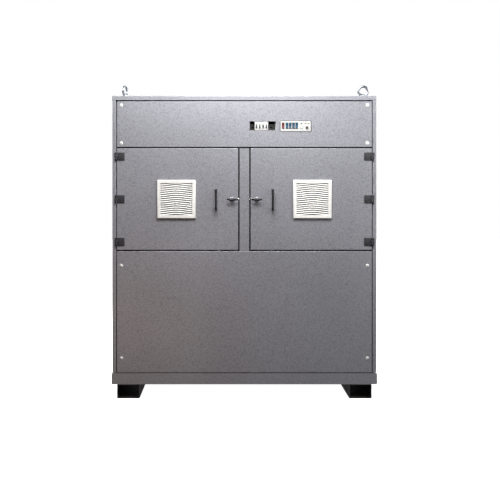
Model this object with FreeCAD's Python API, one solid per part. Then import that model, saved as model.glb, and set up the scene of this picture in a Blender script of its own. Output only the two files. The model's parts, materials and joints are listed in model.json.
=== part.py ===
import FreeCAD, Part
import os
from math import cos, hypot, pi, sin

# Floor-standing transformer cabinet on a skid with fork pockets.
# Millimetres. X to the right, -Y is the front with the doors, +Z up.
# The origin is on the floor, under the middle of the whole object's box.

V = FreeCAD.Vector
X_AXIS = V(1, 0, 0)
Y_AXIS = V(0, 1, 0)
Z_AXIS = V(0, 0, 1)

# ---- overall sizes
body_width = 1396.0          # over the corner posts
body_depth = 796.0
lid_over = 2.0               # the lid stands this far outside the posts
plinth_over = 4.0            # and the plinth this far
post_height = 1439.0
lid_height = 23.0
plinth_height = 57.0

# ---- skid runners
runner_width = 120.0
runner_height = 75.0
runner_wall = 4.0
runner_side_inset = 29.0     # from the plinth's side face to the runner's
runner_end_inset = 2.0       # from the plinth's front and rear faces
anchor_hole_r = 9.0
anchor_end_distance = 60.0   # from the runner's end

# ---- sheet and fits
sheet = 2.0
plinth_sheet = 3.0
floor_thickness = 6.0
floor_inset = 12.0
touch_gap = 0.3              # between bodies that move past each other
shaft_fit = 0.05             # radial, for shafts in their bores
screw_clearance = 0.5

# ---- frame
post_tube = 20.0
post_flange = 40.0
panel_gap = 7.0              # between a panel and the next one above or below
side_gap = 4.0               # between a panel's edge and the post
panel_depth = 18.0
rail_flange_reach = 22.0     # a rail's flange stands this far past the gap on both sides
rail_box_depth = 25.0
mullion_face = 51.0
mullion_flange = 24.5

# ---- front panels and doors
lower_panel_height = 640.0
door_height = 537.0
door_depth = 16.0
door_lip = 14.0
door_free_gap = 7.5          # between a door's free edge and the mullion
fan_x = 359.0
fan_z_offset = -0.5          # from the door's middle height
handle_x = 150.0
latch_side_clear = 15.5      # from the mullion's flange to the latch's shaft
latch_z_offset = -2.5
seal_width = 10.0

# ---- hinges
hinge_height = 42.0
hinge_end_distance = 43.0    # from the door's top or bottom edge to a hinge's middle
hinge_barrel_r = 5.5
hinge_pin_r = 2.5
hinge_leaf = 4.0
hinge_door_reach = 43.5      # from the axis to the end of the door leaf
hinge_post_reach = 9.0
hinge_knuckle_gap = 0.3
hinge_air = 0.5              # round a barrel, to the door and to the other leaf

# ---- pull handles
handle_length = 112.0
handle_out = 34.0
handle_thick = 11.0
handle_foot = 15.0

# ---- wing latches
latch_shaft_r = 6.0
latch_plate_r = 13.0
latch_plate = 5.0
latch_wing_span = 55.0
latch_wing_height = 15.0
latch_wing_thick = 10.0
latch_out = 27.0
cam_length = 45.0
cam_width = 16.0
cam_thick = 3.0
cam_tail = 8.0
hasp_eye_r = 5.0
hasp_eye_overhang = 3.0      # its middle stands this far past the door's free edge
hasp_rise = 4.0

# ---- filter fans
grille_depth = 10.0
grille_border = 18.0
grille_slots = 15
grille_slot_height = 5.0
grille_slot_rise = 7.0
grille_base = 2.8
spigot_size = 175.0
spigot_clearance = 1.0       # to the cut-out in the door, on each side
grille_overlap = 13.5        # the grille reaches this far past the cut-out
spigot_wall = 3.0
spigot_depth = 42.0
fan_tunnel_wall = 4.0
fan_depth = 95.0
rotor_tip_gap = 5.0
rotor_hub_r = 30.0
rotor_blades = 7
motor_shaft_r = 4.0
filter_thick = 8.0

# ---- windows and controls in the top panel
control_z_offset = -9.5      # from the top panel's middle height
window_x = 97.3
window_spare = 69.4          # clear width beside the breaker, both sides together
window_spare_height = 3.0
breaker_x = 90.0
pole_width = 17.5
poles = 4
breaker_body_height = 85.0
breaker_nose_height = 45.0
breaker_nose_depth = 18.0
breaker_depth = 56.0
toggle_r = 4.0
toggle_z_offset = -4.0
toggle_tilt = 20.0           # below the level line when it is off
rail_width = 35.0
rail_sheet = 1.0
rail_hat = 7.5
rail_half_length = 90.0
switch_x = 270.6
switch_width = 168.0
switch_margin = 14.25        # above and below the rockers
switch_plate = 3.0
rocker_width = 10.6
rocker_height = 29.5
rocker_gap = 0.4
rocker_tilt = 8.0
rocker_end_r = 3.5           # how far its ends stand in front of its axis
rocker_places = {"rocker_red": -66.0, "rocker_blue_1": -45.2, "rocker_blue_2": -28.2,
                 "rocker_blue_3": -11.2, "rocker_blue_4": 5.8}
rocker_box_wall = 1.5
rocker_box_depth = 26.0
lamp_r = 3.0
lamp_places = (31.4, 52.4, 68.4)
lamp_z = 13.0
button_r = 6.5
button_x = 31.4
button_z = -6.0
button_out = 5.0
button_travel = 3.0
selector_r = 8.0
selector_x = 60.4
selector_z = -9.0
selector_out = 11.0

# ---- fasteners
washer_r = 9.0
washer_thick = 1.5
screw_head_r = 5.5
screw_head = 2.5
screw_r = 3.0
screw_side = 24.0            # from a panel's side edge to its screws
screw_end = 20.0             # and from its top edge
lower_screw_bottom = 75.0    # the lower panel's bottom screws, from its bottom edge
lower_screw_top = 76.0

# ---- lifting eyes
eye_ring_r = 24.5
eye_wire_r = 7.0
eye_centre = 30.5
eye_flange_r = 18.0
eye_flange = 8.0
eye_shank_r = 8.0
eye_shank = 27.0
eye_side_inset = 64.0        # from the lid's side edge
eye_front_inset = 72.0       # from the lid's front edge
eye_turns = {("front", "left"): 70.0, ("front", "right"): 0.0,
             ("rear", "left"): 25.0, ("rear", "right"): 90.0}

# ---- transformer
limb_width = 110.0
limb_depth = 150.0
lv_clear = 1.0               # from the limb's corners to the winding inside
lv_thick = 9.0
duct = 5.0                   # air between the two windings of a phase
hv_thick = 27.0
phase_gap = 30.0
coil_height = 340.0
coil_end_gap = 20.0          # to the yokes, filled by spacer blocks
clamp_depth = 40.0
clamp_sheet = 6.0
clamp_end = 35.0             # a clamp is this much longer than the core at each end
pad_r = 30.0
pad_height = 20.0
cross_foot_height = 20.0
cross_foot_width = 60.0
cross_foot_x = 250.0
tie_r = 6.0
transformer_set_back = 60.0  # behind the body's middle

# ---- gland plate
gland_plate_width = 300.0
gland_plate_depth = 110.0
gland_count = 3
gland_r = 20.0
gland_bore_r = 12.5
gland_set_in = 75.0          # from the body's rear face

# ---- sizes that follow
seal_thickness = panel_depth - door_depth - touch_gap
hinge_axis_out = hinge_barrel_r + hinge_air
fan_cutout = spigot_size + 2 * spigot_clearance
grille_size = fan_cutout + 2 * grille_overlap
fan_tunnel_r = spigot_size / 2 - spigot_wall - 8.5
rotor_r = fan_tunnel_r - rotor_tip_gap
window_width = poles * pole_width + window_spare
window_height = breaker_nose_height + window_spare_height
switch_height = rocker_height + 2 * switch_margin
lv_inner_r = hypot(limb_width / 2, limb_depth / 2) + lv_clear
lv_outer_r = lv_inner_r + lv_thick
hv_inner_r = lv_outer_r + duct
hv_outer_r = hv_inner_r + hv_thick
limb_pitch = 2 * hv_outer_r + phase_gap
window_clear = coil_height + 2 * coil_end_gap

# ---- levels
plinth_z = runner_height
floor_z = plinth_z + plinth_height
post_z = floor_z + floor_thickness
lid_z = post_z + post_height
lid_top = lid_z + lid_height
lower_panel_z = post_z
door_z = lower_panel_z + lower_panel_height + panel_gap
door_top = door_z + door_height
top_panel_z = door_top + panel_gap
top_panel_top = lid_z - panel_gap
top_panel_height = top_panel_top - top_panel_z
fan_z = door_z + door_height / 2 + fan_z_offset
latch_z = door_z + door_height / 2 + latch_z_offset
control_z = (top_panel_z + top_panel_top) / 2 + control_z_offset
hinge_levels = (door_z + hinge_end_distance, door_z + door_height / 2, door_top - hinge_end_distance)

# ---- places across and in depth
half_width = body_width / 2
post_inner = half_width - post_tube
panel_half = post_inner - side_gap
mullion_half = mullion_face / 2
door_free_x = mullion_half + door_free_gap
latch_x = mullion_half + mullion_flange + latch_side_clear
hasp_eye_x = door_free_x - hasp_eye_overhang
runner_centre_x = half_width + plinth_over - runner_side_inset - runner_width / 2
shift_y = (handle_out - plinth_over) / 2
front = -body_depth / 2 + shift_y
rear = body_depth / 2 + shift_y
hinge_x = panel_half + side_gap / 2 + hinge_air
hinge_y = front - hinge_axis_out
transformer_y = shift_y + transformer_set_back
sides = {"left": -1, "right": 1}

os.makedirs("parts", exist_ok=True)


def save(node, *shapes):
    # one STEP file for each sub-part; several shapes stay separate solids
    shape = shapes[0] if len(shapes) == 1 else Part.makeCompound(list(shapes))
    shape.exportStep("parts/%s.step" % node)
    print("%-26s %2d solids %12.1f mm3" % (node, len(shape.Solids), shape.Volume))


def block(x0, x1, y0, y1, z0, z1):
    low = V(min(x0, x1), min(y0, y1), min(z0, z1))
    return Part.makeBox(abs(x1 - x0), abs(y1 - y0), abs(z1 - z0), low)


def rod(radius, start, end):
    run = V(*end) - V(*start)
    return Part.makeCylinder(radius, run.Length, V(*start), run)


def tube(outer, inner, start, end):
    return rod(outer, start, end).cut(rod(inner, start, end))


def join(first, *others):
    return first.multiFuse(list(others)).removeSplitter() if others else first


def prism(points, run):
    # a closed outline pushed along a straight run
    corners = [V(*point) for point in points]
    return Part.Face(Part.makePolygon(corners + corners[:1])).extrude(V(*run))


def mirror_x(shape):
    return shape.mirror(V(0, 0, 0), X_AXIS)


def mirror_y(shape):
    return shape.mirror(V(0, shift_y, 0), Y_AXIS)


def on_side(shape, side):
    # shapes are made on the right-hand side
    return shape if side > 0 else mirror_x(shape)


def edges_along(shape, axis, test=lambda middle: True):
    found = []
    for edge in shape.Edges:
        if edge.Curve.TypeId != "Part::GeomLine":
            continue
        run = edge.Vertexes[-1].Point - edge.Vertexes[0].Point
        if abs(abs(run.dot(axis)) - run.Length) < 1e-6 and test(edge.CenterOfMass):
            found.append(edge)
    return found


def pan(x0, x1, z0, z1, depth, lip):
    # folded sheet panel: face at y = front, walls all round, lips turned in at the back
    outer = block(x0, x1, front, front + depth, z0, z1)
    outer = outer.makeFillet(1.5, edges_along(outer, Z_AXIS, lambda m: m.y < front + 1)
                             + edges_along(outer, X_AXIS, lambda m: m.y < front + 1))
    hollow = block(x0 + sheet, x1 - sheet, front + sheet, front + depth - sheet, z0 + sheet, z1 - sheet)
    mouth = block(x0 + lip, x1 - lip, front + sheet, front + depth, z0 + lip, z1 - lip)
    return outer.cut(hollow).cut(mouth)


# ---- skid runners: open-ended box sections, one under each side
def runner():
    half = runner_width / 2
    y0 = shift_y - body_depth / 2 - plinth_over + runner_end_inset
    y1 = shift_y + body_depth / 2 + plinth_over - runner_end_inset
    x = runner_centre_x
    shape = block(x - half, x + half, y0, y1, 0, runner_height)
    shape = shape.makeFillet(runner_wall, edges_along(shape, Y_AXIS))
    shape = shape.cut(block(x - half + runner_wall, x + half - runner_wall, y0, y1,
                            runner_wall, runner_height - runner_wall))
    for y in (y0 + anchor_end_distance, y1 - anchor_end_distance):
        shape = shape.cut(rod(anchor_hole_r, (x, y, 0), (x, y, runner_wall)))
    return shape


for name, side in sides.items():
    save("skid_runner_" + name, on_side(runner(), side))


# ---- plinth: a ring of channel, open inwards, with two cross beams
def plinth():
    x = half_width + plinth_over
    y = body_depth / 2 + plinth_over
    reach = 40.0
    beam_half = 30.0
    top = floor_z
    ring = block(-x, x, shift_y - y, shift_y + y, plinth_z, top)
    ring = ring.makeFillet(3.0, edges_along(ring, Z_AXIS))
    ring = ring.cut(block(-x + reach, x - reach, shift_y - y + reach, shift_y + y - reach, plinth_z, top))
    ring = ring.cut(block(-x + plinth_sheet, x - plinth_sheet, shift_y - y + plinth_sheet,
                          shift_y + y - plinth_sheet, plinth_z + plinth_sheet, top - plinth_sheet))
    beams = []
    for beam_x in (-cross_foot_x, cross_foot_x):
        y0, y1 = shift_y - y + plinth_sheet, shift_y + y - plinth_sheet
        low, high = plinth_z + plinth_sheet, top - plinth_sheet
        beam = block(beam_x - beam_half, beam_x + beam_half, y0, y1, low, high)
        beam = beam.cut(block(beam_x - beam_half + plinth_sheet, beam_x + beam_half - plinth_sheet,
                              y0, y1, low, high - plinth_sheet))
        beams.append(beam)
        beams.append(block(beam_x - beam_half, beam_x + beam_half, shift_y - y + reach,
                           shift_y + y - reach, high, top))
    return join(ring, *beams)


save("plinth_frame", plinth())

gland_y = rear - gland_set_in - gland_plate_depth / 2
sill_half = post_inner - post_flange
flange_front = front + panel_depth


# ---- floor plate, recessed so that a shadow groove runs round above the plinth
def floor_plate():
    x = half_width - floor_inset
    y = body_depth / 2 - floor_inset
    plate = block(-x, x, shift_y - y, shift_y + y, floor_z, post_z)
    edge = 15.0
    plate = plate.cut(block(-gland_plate_width / 2 + edge, gland_plate_width / 2 - edge,
                            gland_y - gland_plate_depth / 2 + edge,
                            gland_y + gland_plate_depth / 2 - edge, floor_z, post_z))
    sill = block(-sill_half, sill_half, flange_front, flange_front + sheet, post_z, post_z + 30.0)
    side_half = body_depth / 2 - post_tube - post_flange
    end = block(post_inner, post_inner + sheet, shift_y - side_half, shift_y + side_half,
                post_z, post_z + 30.0)
    return join(plate, sill, mirror_y(sill), end, mirror_x(end))


save("floor_plate", floor_plate())


# ---- corner posts: a square tube with a recessed flange for each face
def corner_post():
    x0, x1 = post_inner, half_width
    y0, y1 = front, front + post_tube
    shape = block(x0, x1, y0, y1, post_z, lid_z)
    shape = shape.makeFillet(2.5, edges_along(shape, Z_AXIS))
    shape = shape.cut(block(x0 + sheet, x1 - sheet, y0 + sheet, y1 - sheet, post_z, lid_z))
    face_flange = block(x0 - post_flange, x0 + sheet, y1 - sheet, y1, post_z, lid_z)
    side_flange = block(x0, x0 + sheet, y1 - sheet, y1 + post_flange, post_z, lid_z)
    shape = join(shape, face_flange, side_flange)
    hole = screw_r + shaft_fit
    x = panel_half - screw_side
    for z in front_screw_levels:
        shape = shape.cut(rod(hole, (x, y1 - sheet, z), (x, y1, z)))
    y = front + post_tube + side_gap + screw_side
    for z in side_screw_levels:
        shape = shape.cut(rod(hole, (x0, y, z), (x0 + sheet, y, z)))
    return shape


front_screw_levels = (lower_panel_z + lower_screw_bottom,
                      lower_panel_z + lower_panel_height - lower_screw_top,
                      top_panel_z + screw_end, top_panel_top - screw_end)
side_screw_levels = (lower_panel_z + lower_screw_bottom, (post_z + lid_z) / 2, top_panel_top - screw_end)

for end in ("front", "rear"):
    for name, side in sides.items():
        post = on_side(corner_post(), side)
        save("corner_post_%s_%s" % (end, name), post if end == "front" else mirror_y(post))


# ---- top frame: an angle ring on the posts, downstands behind the panels, eyebolt corners
eye_x = half_width + lid_over - eye_side_inset
eye_y = front - lid_over + eye_front_inset
frame_top = lid_top - sheet


def top_frame():
    x = half_width - screw_clearance
    y = body_depth / 2 - screw_clearance
    web, reach, plate_thick = 3.0, 40.0, 8.0
    ring = block(-x, x, shift_y - y, shift_y + y, lid_z, frame_top)
    ring = ring.cut(block(-x + web, x - web, shift_y - y + web, shift_y + y - web, lid_z + web, frame_top))
    ring = ring.cut(block(-x + reach, x - reach, shift_y - y + reach, shift_y + y - reach, lid_z, frame_top))
    down = rail_flange_reach + panel_gap
    drop = block(-sill_half, sill_half, flange_front, flange_front + sheet, lid_z - down, lid_z)
    side_half = body_depth / 2 - post_tube - post_flange
    side_drop = block(post_inner, post_inner + sheet, shift_y - side_half, shift_y + side_half,
                      lid_z - down, lid_z)
    corner = block(eye_x - 50.0, x - web, shift_y - y + web, eye_y + 45.0, frame_top - plate_thick, frame_top)
    boss_top = frame_top - plate_thick
    boss = rod(15.0, (eye_x, eye_y, lid_top - eye_shank), (eye_x, eye_y, boss_top))
    corner = corner.fuse(boss)
    corner = corner.cut(rod(eye_shank_r, (eye_x, eye_y, lid_top - eye_shank), (eye_x, eye_y, frame_top)))
    gusset = block(x - reach, x - web, eye_y - 4.0, eye_y + 4.0, lid_z + web, boss_top)
    corner = corner.fuse(gusset)
    pieces = [drop, mirror_y(drop), side_drop, mirror_x(side_drop)]
    pieces += [corner, mirror_x(corner), mirror_y(corner), mirror_x(mirror_y(corner))]
    return join(ring, *pieces)


save("top_frame", top_frame())


# ---- lid: a shallow pan over the top frame
def lid():
    x = half_width + lid_over
    y = body_depth / 2 + lid_over
    shape = block(-x, x, shift_y - y, shift_y + y, lid_z, lid_top)
    shape = shape.makeFillet(5.0, edges_along(shape, Z_AXIS))
    rim = [e for e in shape.Edges if abs(e.BoundBox.ZMin - lid_top) < 1e-6 and e.BoundBox.ZLength < 1e-6]
    shape = shape.makeFillet(2.5, rim)
    shape = shape.cut(block(-x + sheet, x - sheet, shift_y - y + sheet, shift_y + y - sheet, lid_z, frame_top))
    hole_r = eye_shank_r + screw_clearance
    for ex in (-eye_x, eye_x):
        for ey in (eye_y, 2 * shift_y - eye_y):
            shape = shape.cut(rod(hole_r, (ex, ey, frame_top), (ex, ey, lid_top)))
    return shape


save("lid_cover", lid())


# ---- lifting eyes: forged rings with a flange and a shank
def lifting_eye(x, y, turn):
    centre = V(x, y, lid_top + eye_centre)
    ring = Part.makeTorus(eye_ring_r, eye_wire_r, centre, Y_AXIS)
    above = block(x - 60, x + 60, y - 60, y + 60, lid_top, lid_top + 90)
    ring = ring.common(above)
    flange = rod(eye_flange_r, (x, y, lid_top), (x, y, lid_top + eye_flange))
    flange = flange.makeFillet(2.0, [e for e in flange.Edges if e.BoundBox.ZMin > lid_top + 1])
    shank = rod(eye_shank_r - shaft_fit, (x, y, lid_top - eye_shank), (x, y, lid_top))
    shape = join(ring, flange, shank)
    shape.rotate(V(x, y, 0), Z_AXIS, turn)
    return shape


for (end, name), turn in eye_turns.items():
    y = eye_y if end == "front" else 2 * shift_y - eye_y
    save("lifting_eye_%s_%s" % (end, name), lifting_eye(sides[name] * eye_x, y, turn))


# ---- door frame: upper and lower rails with the mullion between them
def door_frame():
    middle_low = door_z - panel_gap / 2
    middle_high = door_top + panel_gap / 2
    pieces = []
    for level in (middle_low, middle_high):
        reach = panel_gap / 2 + rail_flange_reach
        pieces.append(block(-sill_half, sill_half, flange_front, flange_front + sheet,
                            level - reach, level + reach))
        y0, y1 = flange_front + sheet, flange_front + sheet + rail_box_depth
        tube_half = 15.0
        box = block(-post_inner, post_inner, y0, y1, level - tube_half, level + tube_half)
        box = box.cut(block(-post_inner, post_inner, y0 + sheet, y1 - sheet,
                            level - tube_half + sheet, level + tube_half - sheet))
        pieces.append(box)
    low = lower_panel_z + lower_panel_height
    hat = block(-mullion_half, mullion_half, front, flange_front + sheet, low, door_top)
    hat = hat.makeFillet(1.5, edges_along(hat, Z_AXIS, lambda m: m.y < front + 1))
    hat = hat.cut(block(-mullion_half + sheet, mullion_half - sheet, front + sheet,
                        flange_front + sheet, low, door_top))
    pieces.append(hat)
    for side in sides.values():
        flange = block(mullion_half - sheet, mullion_half + mullion_flange, flange_front,
                       flange_front + sheet, middle_low, middle_high)
        pieces.append(on_side(flange, side))
    return join(*pieces)


save("door_frame", door_frame())


# ---- fixed panels
screw_hole = screw_r + screw_clearance


def drill_front(shape, places):
    for x, z in places:
        shape = shape.cut(rod(screw_hole, (x, front, z), (x, front + sheet, z)))
    return shape


def front_panel(z0, z1, levels):
    shape = pan(-panel_half, panel_half, z0, z1, panel_depth, door_lip)
    x = panel_half - screw_side
    return drill_front(shape, [(s * x, z) for s in sides.values() for z in levels])


def top_panel():
    shape = front_panel(top_panel_z, top_panel_top, front_screw_levels[2:])
    half_w, half_h = window_width / 2, window_height / 2
    shape = shape.cut(block(window_x - half_w, window_x + half_w, front, front + sheet,
                            control_z - half_h, control_z + half_h))
    cut_w, cut_h = switch_width / 2 - 6.0, switch_height / 2 - 5.0
    return shape.cut(block(switch_x - cut_w, switch_x + cut_w, front, front + sheet,
                           control_z - cut_h, control_z + cut_h))


save("top_panel", top_panel())
save("lower_panel", front_panel(lower_panel_z, lower_panel_z + lower_panel_height, front_screw_levels[:2]))


def side_panel():
    # made as a front panel, then turned to face right
    half = body_depth / 2 - post_tube - side_gap
    shape = pan(-half, half, lower_panel_z, top_panel_top, panel_depth, door_lip)
    x = half - screw_side
    shape = drill_front(shape, [(s * x, z) for s in sides.values() for z in side_screw_levels])
    shape.translate(V(0, -front, 0))
    shape.rotate(V(0, 0, 0), Z_AXIS, 90)
    shape.translate(V(half_width, shift_y, 0))
    return shape


for name, side in sides.items():
    save("side_panel_" + name, on_side(side_panel(), side))


# ---- rear panel with rows of pressed louvres
louvre_length = 120.0
louvre_height = 14.0
louvre_out = 3.5
louvre_pitch_x = 150.0
louvre_pitch_z = 30.0
louvre_columns = 4
louvre_rows = 9


def louvre(x, z):
    wall = 1.2
    half = louvre_length / 2
    hood = prism([(x - half, rear, z), (x - half, rear + louvre_out, z),
                  (x - half, rear + louvre_out, z + 3.0), (x - half, rear, z + louvre_height)],
                 (louvre_length, 0, 0))
    inner = prism([(x - half + wall, rear - sheet, z - 1.0), (x - half + wall, rear + louvre_out - wall, z - 1.0),
                   (x - half + wall, rear + louvre_out - wall, z + 3.0 - wall / 2),
                   (x - half + wall, rear - sheet, z + louvre_height - 1.0)],
                  (louvre_length - 2 * wall, 0, 0))
    return hood, inner


def rear_panel():
    shape = pan(-panel_half, panel_half, lower_panel_z, top_panel_top, panel_depth, door_lip)
    x = panel_half - screw_side
    shape = mirror_y(drill_front(shape, [(s * x, z) for s in sides.values() for z in front_screw_levels]))
    hoods, hollows = [], []
    for field_z in (lower_panel_z + 170.0, top_panel_top - 430.0):
        for row in range(louvre_rows):
            for column in range(louvre_columns):
                x = (column - (louvre_columns - 1) / 2) * louvre_pitch_x
                hood, inner = louvre(x, field_z + row * louvre_pitch_z)
                hoods.append(hood)
                hollows.append(inner)
    shape = shape.fuse(Part.makeCompound(hoods))
    return shape.cut(Part.makeCompound(hollows))


save("rear_panel", rear_panel())


# ---- panel screws with washers
def panel_screw(x, z):
    shape = rod(washer_r, (x, front - washer_thick, z), (x, front, z))
    head = rod(screw_head_r, (x, front - washer_thick - screw_head, z), (x, front - washer_thick, z))
    head = head.makeFillet(1.5, [e for e in head.Edges if e.BoundBox.YMax < front - washer_thick - 1])
    hexagon = Part.makePolygon([V(x + 2.2 * cos(k * pi / 3), front - washer_thick - screw_head,
                                  z + 2.2 * sin(k * pi / 3)) for k in range(7)])
    head = head.cut(Part.Face(hexagon).extrude(V(0, 1.6, 0)))
    shank = rod(screw_r, (x, front, z), (x, front + panel_depth + sheet + 4.0, z))
    return join(shape, head, shank)


def all_screws():
    x = panel_half - screw_side
    screws = [panel_screw(s * x, z) for s in sides.values() for z in front_screw_levels]
    screws += [mirror_y(screw) for screw in screws]
    half = body_depth / 2 - post_tube - side_gap - screw_side
    for across in (-half, half):
        for z in side_screw_levels:
            screw = panel_screw(across, z)
            screw.translate(V(0, -front, 0))
            screw.rotate(V(0, 0, 0), Z_AXIS, 90)
            screw.translate(V(half_width, shift_y, 0))
            screws += [screw, mirror_x(screw)]
    return screws


save("panel_screws", *all_screws())


# ---- doors
handle_levels = (latch_z - handle_length / 2 + handle_foot / 2, latch_z + handle_length / 2 - handle_foot / 2)
spigot_half = spigot_size / 2


def door():
    shape = pan(door_free_x, panel_half, door_z, door_top, door_depth, door_lip)
    half = fan_cutout / 2
    shape = shape.cut(block(fan_x - half, fan_x + half, front, front + sheet, fan_z - half, fan_z + half))
    shape = shape.cut(rod(latch_plate_r - 3.0 + screw_clearance, (latch_x, front, latch_z),
                          (latch_x, front + sheet, latch_z)))
    for z in handle_levels:
        shape = shape.cut(rod(screw_r + shaft_fit, (handle_x, front, z), (handle_x, front + sheet, z)))
    return shape


def door_seal():
    y0, y1 = front + door_depth, front + door_depth + seal_thickness
    inset = door_lip - seal_width - sheet
    x0, x1, z0, z1 = door_free_x + inset, panel_half - inset, door_z + inset, door_top - inset
    ring = block(x0, x1, y0, y1, z0, z1)
    return ring.cut(block(x0 + seal_width, x1 - seal_width, y0, y1, z0 + seal_width, z1 - seal_width))


# ---- hinges: the post leaf holds the outer knuckles and the pin, the door leaf the middle one
knuckle = hinge_height / 3


def post_leaf(z):
    half = hinge_height / 2
    x1 = hinge_x + hinge_post_reach
    shape = block(post_inner + screw_clearance, x1, front - hinge_leaf, front, z - half, z + half)
    bore = hinge_pin_r + shaft_fit
    for low in (z - half, z + knuckle / 2 + hinge_knuckle_gap):
        top = low + knuckle - hinge_knuckle_gap
        shape = shape.fuse(rod(hinge_barrel_r, (hinge_x, hinge_y, low), (hinge_x, hinge_y, top)))
    shape = shape.cut(rod(bore, (hinge_x, hinge_y, z - half), (hinge_x, hinge_y, z + half)))
    return shape.cut(rod(hinge_barrel_r + hinge_air, (hinge_x, hinge_y, z - knuckle / 2 - hinge_knuckle_gap),
                         (hinge_x, hinge_y, z + knuckle / 2 + hinge_knuckle_gap)))


def hinge_pin(z):
    half = hinge_height / 2
    pin = rod(hinge_pin_r, (hinge_x, hinge_y, z - half), (hinge_x, hinge_y, z + half))
    cap = rod(hinge_pin_r + 1.5, (hinge_x, hinge_y, z + half), (hinge_x, hinge_y, z + half + 1.5))
    return pin.fuse(cap)


def door_leaf(z):
    half = hinge_height / 2
    x0 = hinge_x - hinge_door_reach
    x1 = hinge_x - hinge_barrel_r - hinge_air
    leaf = block(x0, x1, front - hinge_leaf, front, z - half, z + half)
    leaf = leaf.makeFillet(1.2, edges_along(leaf, Z_AXIS, lambda m: m.y < front - 1))
    low, high = z - knuckle / 2, z + knuckle / 2
    arm = block(x1 - 2, hinge_x, hinge_y - hinge_barrel_r + 2.0, front - 1.0, low, high)
    barrel = rod(hinge_barrel_r, (hinge_x, hinge_y, low), (hinge_x, hinge_y, high))
    shape = join(leaf, arm, barrel)
    return shape.cut(rod(hinge_pin_r + shaft_fit, (hinge_x, hinge_y, low), (hinge_x, hinge_y, high)))


frame_leaves = []
for side in sides.values():
    for z in hinge_levels:
        frame_leaves += [on_side(post_leaf(z), side), on_side(hinge_pin(z), side)]
save("hinge_frame_leaves", *frame_leaves)


# ---- pull handle: a bow with two feet, held from behind by screws in blind holes
def pull_handle():
    half_t = handle_thick / 2
    z0, z1 = latch_z - handle_length / 2, latch_z + handle_length / 2
    y0 = front - handle_out
    shape = block(handle_x - half_t, handle_x + half_t, y0, front, z0, z1)
    shape = shape.makeFillet(4.5, edges_along(shape, X_AXIS, lambda m: m.y < front - 10))
    shape = shape.makeFillet(3.0, edges_along(shape, Z_AXIS, lambda m: m.y < front - 10))
    gap = block(handle_x - half_t, handle_x + half_t, y0 + handle_thick, front,
                z0 + handle_foot, z1 - handle_foot)
    gap = gap.makeFillet(6.0, edges_along(gap, X_AXIS, lambda m: m.y < front - 10))
    shape = shape.cut(gap)
    for z in handle_levels:
        shape = shape.fuse(rod(screw_r, (handle_x, front, z), (handle_x, front + sheet + 4.0, z)))
    return shape


# ---- wing latch: rosette with a hasp eye on the door; wing, shaft and cam turn together
def latch_housing():
    bore = latch_shaft_r + shaft_fit
    plate = rod(latch_plate_r, (latch_x, front - latch_plate, latch_z), (latch_x, front, latch_z))
    plate = plate.makeFillet(2.0, [e for e in plate.Edges if e.BoundBox.YMax < front - 2])
    neck = rod(latch_plate_r - 3.0, (latch_x, front, latch_z), (latch_x, front + door_depth - 2.0, latch_z))
    nut_y = front + sheet
    nut = rod(latch_plate_r, (latch_x, nut_y, latch_z), (latch_x, nut_y + 5.0, latch_z))
    eye_z = latch_z + hasp_rise
    lift = screw_clearance
    arm = block(hasp_eye_x, latch_x - 8.0, front - lift - 3.0, front - lift, eye_z - 3.0, eye_z + 3.0)
    seat = block(door_free_x + 3.0, latch_x - 8.0, front - lift, front, eye_z - 3.0, eye_z + 3.0)
    eye = rod(hasp_eye_r, (hasp_eye_x, front - lift - 3.0, eye_z), (hasp_eye_x, front - lift, eye_z))
    shape = join(plate, neck, nut, arm, seat, eye)
    shape = shape.cut(rod(2.2, (hasp_eye_x, front - 9, eye_z), (hasp_eye_x, front, eye_z)))
    return shape.cut(rod(bore, (latch_x, front - 9, latch_z), (latch_x, front + door_depth, latch_z)))


def latch_knob():
    y0 = front - latch_out
    y_hub = front - latch_plate - touch_gap
    half = latch_wing_span / 2
    wing = block(latch_x - half, latch_x + half, y0, y0 + latch_wing_thick,
                 latch_z - latch_wing_height / 2, latch_z + latch_wing_height / 2)
    wing = wing.makeFillet(6.5, edges_along(wing, Y_AXIS))
    wing = wing.makeFillet(2.0, [e for e in wing.Edges if e.BoundBox.YMax < y0 + 0.01])
    hub = rod(latch_plate_r - 3.0, (latch_x, y0 + 2.0, latch_z), (latch_x, y_hub, latch_z))
    cam_y0 = flange_front + sheet + screw_clearance
    shaft = rod(latch_shaft_r, (latch_x, y_hub, latch_z), (latch_x, cam_y0 + cam_thick, latch_z))
    cam = block(latch_x - cam_width / 2, latch_x + cam_width / 2, cam_y0, cam_y0 + cam_thick,
                latch_z - cam_tail, latch_z - cam_tail + cam_length)
    cam = cam.makeFillet(4.0, edges_along(cam, Y_AXIS))
    return join(wing, hub, shaft, cam)


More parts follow.
